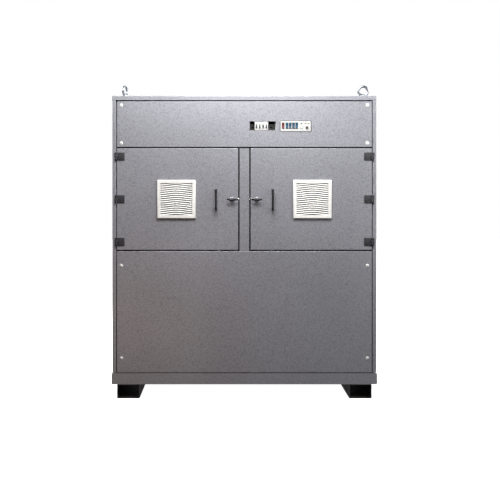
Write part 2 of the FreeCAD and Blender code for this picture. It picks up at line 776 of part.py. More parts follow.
# ---- filter fan: base frame and tunnel on the door, rotor, filter mat and hinged grille
def fan_housing():
    half = grille_size / 2
    base = block(fan_x - half, fan_x + half, front - grille_base, front, fan_z - half, fan_z + half)
    base = base.makeFillet(2.0, edges_along(base, Y_AXIS))
    spigot = block(fan_x - spigot_half, fan_x + spigot_half, front, front + spigot_depth,
                   fan_z - spigot_half, fan_z + spigot_half)
    shape = base.fuse(spigot)
    inner = spigot_half - spigot_wall
    shape = shape.cut(block(fan_x - inner, fan_x + inner, front - grille_base,
                            front + spigot_depth - spigot_wall, fan_z - inner, fan_z + inner))
    y0, y1 = front + spigot_depth, front + fan_depth
    shape = shape.cut(rod(fan_tunnel_r, (fan_x, front, fan_z), (fan_x, y0, fan_z)))
    tunnel = tube(fan_tunnel_r + fan_tunnel_wall, fan_tunnel_r, (fan_x, y0 - spigot_wall, fan_z), (fan_x, y1, fan_z))
    pieces = [tunnel]
    for k in range(4):
        arm = block(fan_x, fan_x + fan_tunnel_r + 1.0, y1 - 8.0, y1, fan_z - 4.0, fan_z + 4.0)
        arm.rotate(V(fan_x, 0, fan_z), Y_AXIS, 45 + 90 * k)
        pieces.append(arm)
    motor = rod(rotor_hub_r, (fan_x, y1 - 12.0, fan_z), (fan_x, y1, fan_z))
    shaft = rod(motor_shaft_r, (fan_x, y1 - 30.0, fan_z), (fan_x, y1 - 12.0, fan_z))
    return join(shape, *(pieces + [motor, shaft]))


def fan_rotor():
    y1 = front + fan_depth - 12.0 - 1.0
    y0 = y1 - 28.0
    hub = rod(rotor_hub_r, (fan_x, y0, fan_z), (fan_x, y1, fan_z))
    hub = hub.makeFillet(3.0, [e for e in hub.Edges if e.BoundBox.YMax < y0 + 1])
    pieces = []
    for k in range(rotor_blades):
        blade = block(rotor_hub_r - 3.0, rotor_r, -1.2, 1.2, -13.0, 13.0)
        blade.rotate(V(0, 0, 0), X_AXIS, 50)
        blade.translate(V(fan_x, (y0 + y1) / 2, fan_z))
        blade.rotate(V(fan_x, 0, fan_z), Y_AXIS, 360.0 / rotor_blades * k)
        pieces.append(blade)
    shape = join(hub, *pieces)
    shape = shape.common(rod(rotor_r, (fan_x, y0 - 5, fan_z), (fan_x, y1, fan_z)))
    bore = motor_shaft_r + shaft_fit
    return shape.cut(rod(bore, (fan_x, y1 - 18.0, fan_z), (fan_x, y1, fan_z)))


def filter_mat():
    half = spigot_half - spigot_wall - touch_gap
    return block(fan_x - half, fan_x + half, front + 1.0, front + 1.0 + filter_thick, fan_z - half, fan_z + half)


def arched_slot(z):
    # a slot that rises to its middle, as two arcs and two short ends
    half = grille_size / 2 - grille_border - 2.0
    y = grille_front - 1.0
    low = [V(fan_x - half, y, z), V(fan_x, y, z + grille_slot_rise), V(fan_x + half, y, z)]
    high = [point + V(0, 0, grille_slot_height) for point in low]
    edges = [Part.Arc(*low).toShape(), Part.makeLine(low[2], high[2]),
             Part.Arc(*reversed(high)).toShape(), Part.makeLine(high[0], low[0])]
    return Part.Face(Part.Wire(edges)).extrude(V(0, grille_depth + 2.0, 0))


grille_back = front - grille_base - touch_gap
grille_front = grille_back - grille_depth


def grille():
    half = grille_size / 2
    shape = block(fan_x - half, fan_x + half, grille_front, grille_back, fan_z - half, fan_z + half)
    shape = shape.makeChamfer(5.0, [e for e in shape.Edges if e.BoundBox.YMax < grille_front + 1e-3])
    inner = half - 3.0
    shape = shape.cut(block(fan_x - inner, fan_x + inner, grille_front + 3.0, grille_back,
                            fan_z - inner, fan_z + inner))
    field = grille_size - 2 * grille_border
    pitch = field / grille_slots
    for row in range(grille_slots):
        z = fan_z - field / 2 + (row + 0.5) * pitch - (grille_slot_height + grille_slot_rise) / 2
        shape = shape.cut(arched_slot(z))
    return shape


door_pieces = {"door": door, "door_seal": door_seal, "pull_handle": pull_handle,
               "latch_housing": latch_housing, "latch_knob": latch_knob, "grille": grille,
               "filter_mat": filter_mat, "fan_housing": fan_housing, "fan_rotor": fan_rotor}

for node, make in door_pieces.items():
    piece = make()
    for name, side in sides.items():
        save("%s_%s" % (node, name), on_side(piece, side))
for name, side in sides.items():
    save("hinge_door_leaves_" + name, *[on_side(door_leaf(z), side) for z in hinge_levels])


# ---- breaker on its rail, behind the window
rail_y = front + sheet + breaker_depth
rail_z = control_z - 4.0


def din_rail():
    half = rail_width / 2
    x0, x1 = window_x - rail_half_length, window_x + rail_half_length - 12.0
    hat = block(x0, x1, rail_y, rail_y + rail_hat, rail_z - 13.5, rail_z + 13.5)
    hat = hat.cut(block(x0, x1, rail_y, rail_y + rail_hat - rail_sheet, rail_z - 12.5, rail_z + 12.5))
    lips = [block(x0, x1, rail_y, rail_y + rail_sheet, rail_z + s * 12.5, rail_z + s * half) for s in (-1, 1)]
    shape = join(hat, *lips)
    y = rail_y + rail_hat
    for slot_x in [x0 + 12.5 + 25.0 * k for k in range(6)]:
        slot = block(slot_x - 6.0, slot_x + 6.0, y - 2.0, y + 1.0, rail_z - 3.0, rail_z + 3.0)
        shape = shape.cut(slot)
    brackets = [block(x0, x0 + 10.0, front + sheet, rail_y, rail_z - half, rail_z + half),
                block(x1 - 10.0, x1, front + sheet, rail_y, rail_z - half, rail_z + half)]
    return [join(shape, *brackets)]


save("din_rail", *din_rail())

toggle_y = front + 8.0
toggle_z = control_z + toggle_z_offset


def breaker_body():
    pieces = []
    nose_y = front + sheet + breaker_nose_depth
    cavity_r = toggle_r + touch_gap
    for k in range(poles):
        x0 = breaker_x + (k - poles / 2) * pole_width
        x1 = x0 + pole_width
        body = block(x0, x1, nose_y, rail_y, control_z - breaker_body_height / 2,
                     control_z + breaker_body_height / 2)
        nose = block(x0, x1, front + sheet, nose_y, control_z - breaker_nose_height / 2,
                     control_z + breaker_nose_height / 2)
        nose = nose.makeFillet(1.5, edges_along(nose, X_AXIS, lambda m: m.y < front + 3))
        pole = body.fuse(nose)
        pole = pole.cut(rod(cavity_r, (x0, toggle_y, toggle_z), (x1, toggle_y, toggle_z)))
        middle = (x0 + x1) / 2
        pole = pole.cut(block(middle - 3.6, middle + 3.6, front, toggle_y, toggle_z - 9.5, toggle_z + 9.5))
        for end in (-1, 1):
            z = control_z + end * (breaker_body_height / 2 - 9.0)
            pole = pole.cut(rod(3.0, (middle, nose_y, z), (middle, nose_y + 8.0, z)))
        pieces.append(pole.removeSplitter())
    return pieces


save("breaker_body", *breaker_body())


def breaker_toggle():
    half = poles * pole_width / 2
    shape = rod(toggle_r, (breaker_x - half, toggle_y, toggle_z), (breaker_x + half, toggle_y, toggle_z))
    levers = []
    for k in range(poles):
        x = breaker_x + (k - (poles - 1) / 2) * pole_width
        lever = block(x - 3.0, x + 3.0, toggle_y - 15.0, toggle_y, toggle_z - 2.5, toggle_z + 2.5)
        lever = lever.makeFillet(2.0, edges_along(lever, X_AXIS, lambda m: m.y < toggle_y - 10))
        levers.append(lever)
    tie = block(breaker_x - half + 5.0, breaker_x + half - 5.0, toggle_y - 14.0, toggle_y - 12.0,
                toggle_z - 1.5, toggle_z + 1.5)
    shape = join(shape, tie, *levers)
    shape.rotate(V(breaker_x, toggle_y, toggle_z), X_AXIS, toggle_tilt)
    return shape


save("breaker_toggle", breaker_toggle())


# ---- switch panel: a plate with five rocker boxes behind it, a button guide and a selector bore
plate_y = front - switch_plate
rocker_axis_y = front - 1.0
rocker_z = control_z + 1.0


def rocker_box(x):
    half_w = rocker_width / 2 + rocker_gap
    half_h = rocker_height / 2 + 0.9
    wall = rocker_box_wall
    box = block(x - half_w - wall, x + half_w + wall, front, front + rocker_box_depth,
                rocker_z - half_h - wall, rocker_z + half_h + wall)
    return box, block(x - half_w, x + half_w, plate_y, front + 12.0, rocker_z - half_h, rocker_z + half_h)


def switch_panel():
    half_w, half_h = switch_width / 2, switch_height / 2
    plate = block(switch_x - half_w, switch_x + half_w, plate_y, front, control_z - half_h, control_z + half_h)
    plate = plate.makeFillet(2.5, edges_along(plate, Y_AXIS))
    boxes, holes = [], []
    for offset in rocker_places.values():
        box, hole = rocker_box(switch_x + offset)
        boxes.append(box)
        holes.append(hole)
    bx, bz = switch_x + button_x, control_z + button_z
    boxes.append(rod(button_r + 2.5, (bx, front, bz), (bx, front + 20.0, bz)))
    holes.append(rod(button_r + shaft_fit, (bx, plate_y, bz), (bx, front + 16.0, bz)))
    sx, sz = switch_x + selector_x, control_z + selector_z
    boxes.append(rod(7.0, (sx, front, sz), (sx, front + 18.0, sz)))
    holes.append(rod(3.0 + shaft_fit, (sx, plate_y, sz), (sx, front + 14.0, sz)))
    for place in lamp_places:
        x, z = switch_x + place, control_z + lamp_z
        holes.append(rod(lamp_r + shaft_fit, (x, plate_y, z), (x, front, z)))
    return join(plate, *boxes).cut(Part.makeCompound(holes))


save("switch_panel", switch_panel())


def rocker(x):
    half = rocker_height / 2
    y = rocker_axis_y
    outline = [(y - rocker_end_r, rocker_z + half), (y - 2.2, rocker_z), (y - rocker_end_r, rocker_z - half),
               (y + 1.0, rocker_z - half), (y + 6.0, rocker_z - 4.0), (y + 6.0, rocker_z + 4.0),
               (y + 1.0, rocker_z + half)]
    x0 = x - rocker_width / 2
    shape = prism([(x0, py, pz) for py, pz in outline], (rocker_width, 0, 0))
    shape.rotate(V(x, y, rocker_z), X_AXIS, -rocker_tilt)
    return shape


for node, offset in rocker_places.items():
    save(node, rocker(switch_x + offset))


def lamps():
    pieces = []
    for place in lamp_places:
        x, z = switch_x + place, control_z + lamp_z
        body = rod(lamp_r, (x, plate_y - 2.0, z), (x, front + 14.0, z))
        pieces.append(body.makeFillet(1.5, [e for e in body.Edges if e.BoundBox.YMax < plate_y - 1]))
    return pieces


save("indicator_lamps", *lamps())


def push_button():
    x, z = switch_x + button_x, control_z + button_z
    shape = rod(button_r, (x, plate_y - button_out, z), (x, front + 16.0 - button_travel - touch_gap, z))
    return shape.makeFillet(1.0, [e for e in shape.Edges if e.BoundBox.YMax < plate_y - 1])


save("push_button", push_button())


def selector_knob():
    x, z = switch_x + selector_x, control_z + selector_z
    y0, y1 = plate_y - selector_out, plate_y - touch_gap
    skirt = rod(selector_r, (x, y1 - 4.0, z), (x, y1, z))
    skirt = skirt.makeFillet(1.0, [e for e in skirt.Edges if e.BoundBox.YMax < y1 - 1])
    grip = block(x - 2.5, x + 2.5, y0, y1 - 4.0, z - selector_r + 1.0, z + selector_r - 1.0)
    grip = grip.makeFillet(1.2, edges_along(grip, Z_AXIS, lambda m: m.y < y1 - 5))
    shaft = rod(3.0, (x, y1, z), (x, front + 14.0 - touch_gap, z))
    return join(skirt, grip, shaft)


save("selector_knob", selector_knob())


# ---- transformer: three-limb core on cross feet and pads, clamps, windings and terminals
core_z = post_z + pad_height + cross_foot_height
core_half = limb_pitch + limb_width / 2
yoke = limb_width
core_top = core_z + 2 * yoke + window_clear
coil_z = core_z + yoke + (window_clear - coil_height) / 2
limbs = (-limb_pitch, 0.0, limb_pitch)


def core():
    y0, y1 = transformer_y - limb_depth / 2, transformer_y + limb_depth / 2
    shape = block(-core_half, core_half, y0, y1, core_z, core_top)
    clear = limb_pitch - limb_width
    for middle in (-limb_pitch / 2, limb_pitch / 2):
        shape = shape.cut(block(middle - clear / 2, middle + clear / 2, y0, y1,
                                core_z + yoke, core_z + yoke + window_clear))
    return shape


save("transformer_core", core())


def clamp(z0):
    # one channel along a yoke, open to the outside
    x = core_half + clamp_end
    y1 = transformer_y - limb_depth / 2
    y0 = y1 - clamp_depth
    shape = block(-x, x, y0, y1, z0, z0 + yoke)
    cut_low = z0 + clamp_sheet
    cut_high = z0 + yoke - clamp_sheet
    shape = shape.cut(block(-x, x, y0, y1 - clamp_sheet, cut_low, cut_high))
    for bolt_x in (-bolt_reach, bolt_reach):
        shape = shape.cut(rod(tie_r + screw_clearance, (bolt_x, y0, z0 + yoke / 2), (bolt_x, y1, z0 + yoke / 2)))
    return shape


bolt_reach = core_half + clamp_end / 2


def behind_core(shape):
    return shape.mirror(V(0, transformer_y, 0), Y_AXIS)


def clamp_set():
    pieces = []
    nut_r, nut_height, bolt_end = 11.0, 7.0, 8.0
    for z0 in (core_z, core_top - yoke):
        channel = clamp(z0)
        pieces += [channel, behind_core(channel)]
        for bolt_x in (-bolt_reach, bolt_reach):
            z = z0 + yoke / 2
            seat = limb_depth / 2 + clamp_sheet
            reach = seat + bolt_end
            bolt = rod(tie_r, (bolt_x, transformer_y - reach, z), (bolt_x, transformer_y + reach, z))
            nut = rod(nut_r, (bolt_x, transformer_y - seat - nut_height, z), (bolt_x, transformer_y - seat, z))
            pieces.append(join(bolt, nut, behind_core(nut)))
    block_half = 20.0
    for x in limbs:
        for low, high in ((core_z + yoke, coil_z), (coil_z + coil_height, core_top - yoke)):
            spacer = block(x - block_half, x + block_half, transformer_y - hv_outer_r + 2.0,
                           transformer_y - limb_depth / 2 - 10.0, low, high)
            pieces += [spacer, behind_core(spacer)]
    foot_half = cross_foot_width / 2
    y_reach = limb_depth / 2 + clamp_depth + 15.0
    for x in (-cross_foot_x, cross_foot_x):
        foot_z = post_z + pad_height
        pieces.append(block(x - foot_half, x + foot_half, transformer_y - y_reach, transformer_y + y_reach,
                            foot_z, core_z))
        for y in (transformer_y - y_reach + pad_r, transformer_y + y_reach - pad_r):
            pieces.append(rod(pad_r, (x, y, post_z), (x, y, foot_z)))
    return pieces


save("core_clamps", *clamp_set())


def coil(x, inner, outer):
    shape = tube(outer, inner, (x, transformer_y, coil_z), (x, transformer_y, coil_z + coil_height))
    return shape.makeFillet(3.0, [e for e in shape.Edges if e.BoundBox.ZLength < 1e-6
                                  and e.BoundBox.XLength > 2 * outer - 1])


save("lv_windings", *[coil(x, lv_inner_r, lv_outer_r) for x in limbs])
save("hv_windings", *[coil(x, hv_inner_r, hv_outer_r) for x in limbs])


def terminal_board():
    pieces = []
    board_half, board_z = 320.0, core_top + 20.0
    y1 = transformer_y - limb_depth / 2
    y0 = y1 - clamp_depth
    for x in (-board_half + 40.0, board_half - 40.0):
        pieces.append(block(x - 15.0, x + 15.0, y0 + 5.0, y1 - 5.0, core_top, board_z))
    board = block(-board_half, board_half, y0 - 10.0, y1 + 10.0, board_z, board_z + 12.0)
    stud_r = 6.0
    middle = (y0 + y1) / 2
    for k in range(7):
        x = (k - 3) * 85.0
        board = board.cut(rod(stud_r, (x, middle, board_z), (x, middle, board_z + 12.0)))
        stud = rod(stud_r, (x, middle, board_z - 12.0), (x, middle, board_z + 45.0))
        nut = rod(10.0, (x, middle, board_z + 12.0), (x, middle, board_z + 22.0))
        tab = block(x - 15.0, x + 15.0, middle - 25.0, middle + 25.0, board_z + 22.0, board_z + 25.0)
        top_nut = rod(10.0, (x, middle, board_z + 25.0), (x, middle, board_z + 34.0))
        pieces.append(join(stud, nut, tab, top_nut))
    return pieces + [board]


save("terminal_board", *terminal_board())


# ---- gland plate over the opening in the floor, with three cable glands
def gland_plate():
    half_w, half_d = gland_plate_width / 2, gland_plate_depth / 2
    plate = block(-half_w, half_w, gland_y - half_d, gland_y + half_d, post_z, post_z + 3.0)
    shape = [plate]
    low, high = post_z - 22.0, post_z + 3.0 + 24.0
    for k in range(gland_count):
        x = (k - (gland_count - 1) / 2) * 80.0
        shape.append(rod(gland_r, (x, gland_y, post_z + 3.0), (x, gland_y, high - 10.0)))
        shape.append(rod(gland_r - 3.0, (x, gland_y, high - 10.0), (x, gland_y, high)))
        shape.append(rod(gland_r - 4.0, (x, gland_y, low), (x, gland_y, post_z)))
        shape.append(rod(gland_r + 2.0, (x, gland_y, post_z - 9.0), (x, gland_y, post_z)))
    solid = join(*shape)
    for k in range(gland_count):
        x = (k - (gland_count - 1) / 2) * 80.0
        solid = solid.cut(rod(gland_bore_r, (x, gland_y, low), (x, gland_y, high)))
    return solid


save("gland_plate", gland_plate())
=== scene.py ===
import bpy, bmesh, json
from math import radians
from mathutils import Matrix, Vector


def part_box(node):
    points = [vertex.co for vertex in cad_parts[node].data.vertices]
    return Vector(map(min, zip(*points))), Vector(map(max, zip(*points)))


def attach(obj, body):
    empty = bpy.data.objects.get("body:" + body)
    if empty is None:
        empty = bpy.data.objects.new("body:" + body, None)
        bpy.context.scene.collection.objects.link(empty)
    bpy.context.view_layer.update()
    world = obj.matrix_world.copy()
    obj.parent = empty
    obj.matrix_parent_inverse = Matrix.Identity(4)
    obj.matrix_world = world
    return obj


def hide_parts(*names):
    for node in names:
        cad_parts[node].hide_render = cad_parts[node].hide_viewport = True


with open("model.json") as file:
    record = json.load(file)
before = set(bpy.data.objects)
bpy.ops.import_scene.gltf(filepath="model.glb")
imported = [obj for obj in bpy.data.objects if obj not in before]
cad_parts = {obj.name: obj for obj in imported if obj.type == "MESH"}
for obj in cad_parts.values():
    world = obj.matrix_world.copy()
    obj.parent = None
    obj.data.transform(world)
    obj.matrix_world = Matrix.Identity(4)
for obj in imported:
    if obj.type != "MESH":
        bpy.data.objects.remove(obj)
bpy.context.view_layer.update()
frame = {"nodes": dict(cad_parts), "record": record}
nodes = frame["nodes"]
mm = 0.001
hair = 0.0001  # a push too small to see, so that an inset keeps a face of its own
touch = 0.00001  # points nearer than this lie in one place
sides = {"left": -1, "right": 1}
print("frame loaded:", len(nodes), "nodes")

# places that the rest is worked out from
lidLow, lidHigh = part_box("lid_cover")
panelLow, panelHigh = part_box("lower_panel")
frontY = panelLow.y  # the plane of the panels, doors and posts
middleY = (lidLow.y + lidHigh.y) / 2
rearY = 2 * middleY - frontY


# ---- camera: level, in front and a little left of the middle, as high as the door handles
view = {"x": -0.103, "height": 1.087, "distance": 6.0, "frameWidth": 2.643,
        "shiftX": 0.0502, "shiftY": -0.1145, "sensorMm": 36.0, "clip": 60.0}


def makeCamera():
    data = bpy.data.cameras.new("camera")
    data.sensor_width = view["sensorMm"]
    data.lens = data.sensor_width * view["distance"] / view["frameWidth"]
    data.shift_x = view["shiftX"]
    data.shift_y = view["shiftY"]
    data.clip_end = view["clip"]
    camera = bpy.data.objects.new("camera", data)
    bpy.context.collection.objects.link(camera)
    camera.location = (view["x"], frontY - view["distance"], view["height"])
    camera.rotation_euler = (radians(90), 0, 0)
    bpy.context.scene.camera = camera


makeCamera()


# ---- colour and node helpers
def linear(hexColour):
    channels = [int(hexColour[k:k + 2], 16) / 255 for k in (1, 3, 5)]
    return [c / 12.92 if c <= 0.04045 else ((c + 0.055) / 1.055) ** 2.4 for c in channels] + [1.0]


def addNode(tree, kind, settings=None, links=None):
    # settings are properties or socket values, links go from (node, output) to this node's inputs
    node = tree.nodes.new(kind)
    for name, value in (settings or {}).items():
        if isinstance(name, str) and hasattr(node, name):
            setattr(node, name, value)
        else:
            node.inputs[name].default_value = value
    for name, (source, output) in (links or {}).items():
        tree.links.new(source.outputs[output], node.inputs[name])
    return node


def newMaterial(name):
    material = bpy.data.materials.new(name)
    material.use_nodes = True
    tree = material.node_tree
    shader = tree.nodes["Principled BSDF"]
    coords = addNode(tree, "ShaderNodeTexCoord")
    return material, tree, shader, coords


def perMetre(sizeMm):
    return 1.0 / (sizeMm * mm)  # a texture scale whose cells are that many millimetres


def setShader(shader, **values):
    for name, value in values.items():
        shader.inputs[name.replace("_", " ")].default_value = value


def twoTone(tree, factor, dark, light, low=0.35, high=0.65):
    # a ramp between two hex colours, driven by a texture
    ramp = addNode(tree, "ShaderNodeValToRGB", {}, {0: factor})
    ramp.color_ramp.elements[0].position = low
    ramp.color_ramp.elements[0].color = linear(dark)
    ramp.color_ramp.elements[1].position = high
    ramp.color_ramp.elements[1].color = linear(light)
    return ramp


def roughBetween(tree, shader, factor, low, high):
    span = addNode(tree, "ShaderNodeMapRange", {"To Min": low, "To Max": high}, {"Value": factor})
    tree.links.new(span.outputs["Result"], shader.inputs["Roughness"])


def bumpFrom(tree, shader, factor, strength, depthMm):
    bump = addNode(tree, "ShaderNodeBump", {"Strength": strength, "Distance": depthMm * mm},
                   {"Height": factor})
    tree.links.new(bump.outputs["Normal"], shader.inputs["Normal"])


# ---- materials
hammerPaint = {"grainMm": 6.5, "poreMm": 2.6, "patchMm": 420.0, "dark": "#88888E", "light": "#A4A4AB"}


def hammerPaintMaterial(name, dark, light):
    # hammertone powder coat on sheet steel: leafed metal flakes pull into small dimples,
    # so it sparkles in grains under a soft clear skin; grain is drawn coarser than its real 3 mm
    material, tree, shader, coords = newMaterial(name)
    grain = addNode(tree, "ShaderNodeTexVoronoi",
                    {"feature": "SMOOTH_F1", "Scale": perMetre(hammerPaint["grainMm"]), "Smoothness": 0.6},
                    {"Vector": (coords, "Object")})
    pores = addNode(tree, "ShaderNodeTexNoise", {"Scale": perMetre(hammerPaint["poreMm"]), "Detail": 2.0},
                    {"Vector": (coords, "Object")})
    patches = addNode(tree, "ShaderNodeTexNoise", {"Scale": perMetre(hammerPaint["patchMm"]), "Detail": 2.0,
                      "Roughness": 0.4}, {"Vector": (coords, "Object")})
    flakes = addNode(tree, "ShaderNodeMix", {"data_type": "FLOAT", "Factor": 0.38},
                     {2: (grain, "Distance"), 3: (pores, "Fac")})
    speckle = twoTone(tree, (flakes, 0), light, dark, 0.2, 0.7)
    cloud = addNode(tree, "ShaderNodeMapRange",
                    {"From Min": 0.3, "From Max": 0.7, "To Min": 0.93, "To Max": 1.05},
                    {"Value": (patches, "Fac")})
    tint = addNode(tree, "ShaderNodeVectorMath", {"operation": "SCALE"},
                   {0: (speckle, "Color"), "Scale": (cloud, "Result")})
    tree.links.new(tint.outputs[0], shader.inputs["Base Color"])
    setShader(shader, Metallic=0.55, Coat_Weight=0.25, Coat_Roughness=0.35)
    roughBetween(tree, shader, (pores, "Fac"), 0.36, 0.50)
    bumpFrom(tree, shader, (flakes, 0), 0.6, 0.5)
    return material


def plainMaterial(name, base, base2, grainMm, rough, bumpMm=0.05, metallic=0.0, strength=0.3, **more):
    # a colour that drifts between two tones with a fine grain in its gloss and surface
    material, tree, shader, coords = newMaterial(name)
    drift = addNode(tree, "ShaderNodeTexNoise", {"Scale": perMetre(grainMm * 12), "Detail": 3.0},
                    {"Vector": (coords, "Object")})
    grain = addNode(tree, "ShaderNodeTexNoise", {"Scale": perMetre(grainMm), "Detail": 2.0},
                    {"Vector": (coords, "Object")})
    tone = twoTone(tree, (drift, "Fac"), base, base2)
    tree.links.new(tone.outputs["Color"], shader.inputs["Base Color"])
    setShader(shader, Metallic=metallic, **more)
    roughBetween(tree, shader, (grain, "Fac"), rough * 0.85, min(1.0, rough * 1.15))
    bumpFrom(tree, shader, (grain, "Fac"), strength, bumpMm)
    return material


# mottled blue-grey paint that glints in small grains
cabinetPaint = hammerPaintMaterial("hammertonePaint", hammerPaint["dark"], hammerPaint["light"])
# brown-black enamel with a soft, slightly uneven gloss
skidPaint = plainMaterial("skidEnamel", "#2A2825", "#3C3934", 6.0, 0.45, 0.08, Coat_Weight=0.2)
# pale grey metal with a clear, slightly soft shine
zincPlate = plainMaterial("brightZincPlate", "#A6AAAF", "#BABDC0", 2.0, 0.33, 0.02, metallic=1.0)
# bright silver that mirrors its surroundings almost sharply
chromePlate = plainMaterial("chromePlate", "#E6E8EA", "#F2F3F4", 3.0, 0.2, 0.01, metallic=1.0, strength=0.15)
# dead black foam for the door seals, and painted shade on the strips down the panel gaps
sealAndGapShade = plainMaterial("foamedSealAndGapShade", "#141415", "#202022", 1.5, 0.92, 0.25, strength=0.7)
# charcoal powder coat with a fine orange-peel sheen
hingeCoat = plainMaterial("blackPowderCoat", "#232326", "#303034", 1.2, 0.48, 0.08, strength=0.45)
# near-black plastic with a broad, low highlight
polyamide = plainMaterial("mouldedPolyamide", "#0E0E11", "#16161A", 1.0, 0.42, 0.05, strength=0.4)
# clean off-white plastic that shows the louvres by their shadows
greyAbs = plainMaterial("mouldedAbs", "#D0CECA", "#DAD8D4", 1.5, 0.5, 0.03, strength=0.25)
# dusty grey fibre with a faint light nap
fleece = plainMaterial("needledFleece", "#7C7B76", "#93928D", 1.8, 0.95, 0.6, strength=0.9, Sheen_Weight=0.3)
# dull dark plastic with a slightly rough skin
fanPlastic = plainMaterial("glassFilledPlastic", "#1A1B1D", "#26272A", 1.4, 0.55, 0.05)
# light neutral grey plastic, smooth and a little shiny
breakerShell = plainMaterial("breakerShell", "#B2B2B0", "#BDBDBA", 1.0, 0.46, 0.03)
# blue-black nylon with a small bright edge
toggleBlack = plainMaterial("toggleNylon", "#1B1C22", "#27282E", 0.8, 0.38, 0.03)
# pale flat plate, the brightest patch beside the breaker
plateWhite = plainMaterial("coatedPlate", "#AEAEAC", "#B8B8B6", 1.2, 0.36, 0.03)
# matt charcoal that outlines the plate and its switches, and paints the shade on the rockers' lower ends and
# under the plate's top edge
rimAndShadeDark = plainMaterial("rimPlasticAndShade", "#2A2A2E", "#38383C", 1.0, 0.5, 0.04)
# deep wine red with hardly any glare
rockerRed = plainMaterial("redPolycarbonate", "#54171C", "#611C21", 2.0, 0.45, 0.01,
                          Specular_IOR_Level=0.25)
# deep petrol blue with hardly any glare
rockerBlue = plainMaterial("bluePolycarbonate", "#043248", "#073C54", 2.0, 0.45, 0.01,
                           Specular_IOR_Level=0.25)
# unlit grey-green lens with a wet point of light
lensGreen = plainMaterial("greenLens", "#5A6E5E", "#6C7F6E", 1.0, 0.12, 0.01, Coat_Weight=0.6)
# unlit brown-amber lens with a wet point of light
lensAmber = plainMaterial("amberLens", "#6E5A48", "#826A52", 1.0, 0.12, 0.01, Coat_Weight=0.6)
# darker forged metal with a soft round highlight
eyeZinc = plainMaterial("dullZincPlate", "#85898E", "#989CA0", 3.0, 0.3, 0.04, metallic=1.0)
# smoky grey metal that hardly stands out on the black leaf
screwDark = plainMaterial("blackenedScrew", "#5A5B5E", "#6B6C70", 1.0, 0.35, 0.02, metallic=1.0)
# near-white dots at the corners of the panels
screwZinc = plainMaterial("blueZincPlate", "#DADAD8", "#E6E6E4", 2.0, 0.4, 0.02, metallic=0.25, strength=0.15)
# a small spot of green above each lever
flagGreen = plainMaterial("flagAcetal", "#2F6B45", "#3A7A50", 1.0, 0.35, 0.01)
# light grey key with a gentle shine
buttonGrey = plainMaterial("buttonPlastic", "#C2C2BE", "#D2D2CE", 1.0, 0.28, 0.02)
# warm dark brown knob beside the cool plate
selectorBrown = plainMaterial("selectorPlastic", "#453834", "#53443F", 1.0, 0.4, 0.03)
# flat slate grey, quiet behind the windings
clampPrimer = plainMaterial("greyPrimer", "#4C4F54", "#5A5D62", 3.0, 0.6, 0.05)
# brick-red resin with a glassy skin
castResin = plainMaterial("castEpoxyResin", "#7A2F20", "#8E3A28", 5.0, 0.32, 0.1, Coat_Weight=0.3)
# satin silver foil in the gap between coil and limb
windingFoil = plainMaterial("varnishedFoil", "#A9ABAD", "#BDBFC0", 2.0, 0.35, 0.05, metallic=0.9)
# honey-brown board with a low gloss
boardLaminate = plainMaterial("paperLaminate", "#8A5F34", "#9C6E3E", 2.5, 0.5, 0.05)
# yellow metal points that catch the light on the board
brassTurned = plainMaterial("turnedBrass", "#C79A4B", "#D6AC5E", 1.5, 0.25, 0.02, metallic=1.0)
# warm grey metal rings with crisp edges
nickelTurned = plainMaterial("nickelPlate", "#A9A79F", "#BAB8B0", 1.5, 0.25, 0.02, metallic=1.0)


waveTurn = 6.28  # a wave texture of scale 1 repeats once in this many units


def laminationMaterial():
    # varnished electrical steel sheets seen on edge: fine lines, drawn 3 mm apart instead of 0.3
    material, tree, shader, coords = newMaterial("coreLaminations")
    lines = addNode(tree, "ShaderNodeTexWave", {"bands_direction": "Y", "Scale": perMetre(3.0) / waveTurn,
                    "Distortion": 0.4, "Detail": 1.0}, {"Vector": (coords, "Object")})
    stain = addNode(tree, "ShaderNodeTexNoise", {"Scale": perMetre(60.0), "Detail": 3.0},
                    {"Vector": (coords, "Object")})
    tone = twoTone(tree, (stain, "Fac"), "#2C2B2B", "#474340")
    tree.links.new(tone.outputs["Color"], shader.inputs["Base Color"])
    setShader(shader, Metallic=0.6)
    roughBetween(tree, shader, (stain, "Fac"), 0.4, 0.6)
    bumpFrom(tree, shader, (lines, "Fac"), 0.5, 0.3)
    return material


# brown-black steel with fine level lines and a dull metal sheen
coreLaminations = laminationMaterial()
print("materials made")

finishes = {
    "cabinet_paint": cabinetPaint, "skid_paint": skidPaint, "zinc_steel": zincPlate, "seal_foam": sealAndGapShade,
    "hinge_black": hingeCoat, "handle_black": polyamide, "chrome": chromePlate, "grille_plastic": greyAbs,
    "filter_fleece": fleece, "fan_plastic": fanPlastic, "breaker_plastic": breakerShell,
    "toggle_plastic": toggleBlack, "switch_plate": plateWhite, "rocker_red": rockerRed,
    "rocker_blue": rockerBlue, "lamp_lens": lensGreen, "button_grey": buttonGrey,
    "selector_brown": selectorBrown, "core_steel": coreLaminations, "clamp_paint": clampPrimer,
    "foil_winding": windingFoil, "cast_resin": castResin, "terminal_laminate": boardLaminate,
    "gland_steel": zincPlate}

for part in frame["record"]["subparts"]:
    slots = nodes[part["node"]].data.materials
    slots.clear()
    slots.append(finishes[part["material_slot"]])
nodes["din_rail"].data.materials[0] = screwZinc
print("packed pieces painted")


# ---- modelling helpers
turns = {"X": (0, radians(90), 0), "Y": (radians(90), 0, 0), "Z": (0, 0, 0)}
axisIndex = {"X": 0, "Y": 1, "Z": 2}


def clearSelection():
    bpy.ops.object.select_all(action="DESELECT")


def settle(piece, name):
    # the new primitive keeps its place in its mesh, so that its object sits at the origin
    piece.name = name
    piece.data.name = name
    bpy.ops.object.transform_apply(location=True, rotation=True, scale=True)
    return piece


def addBox(name, low, high):
    clearSelection()
    low, high = Vector(low), Vector(high)
    bpy.ops.mesh.primitive_cube_add(size=1, location=(low + high) / 2)
    bpy.context.object.scale = high - low
    return settle(bpy.context.object, name)


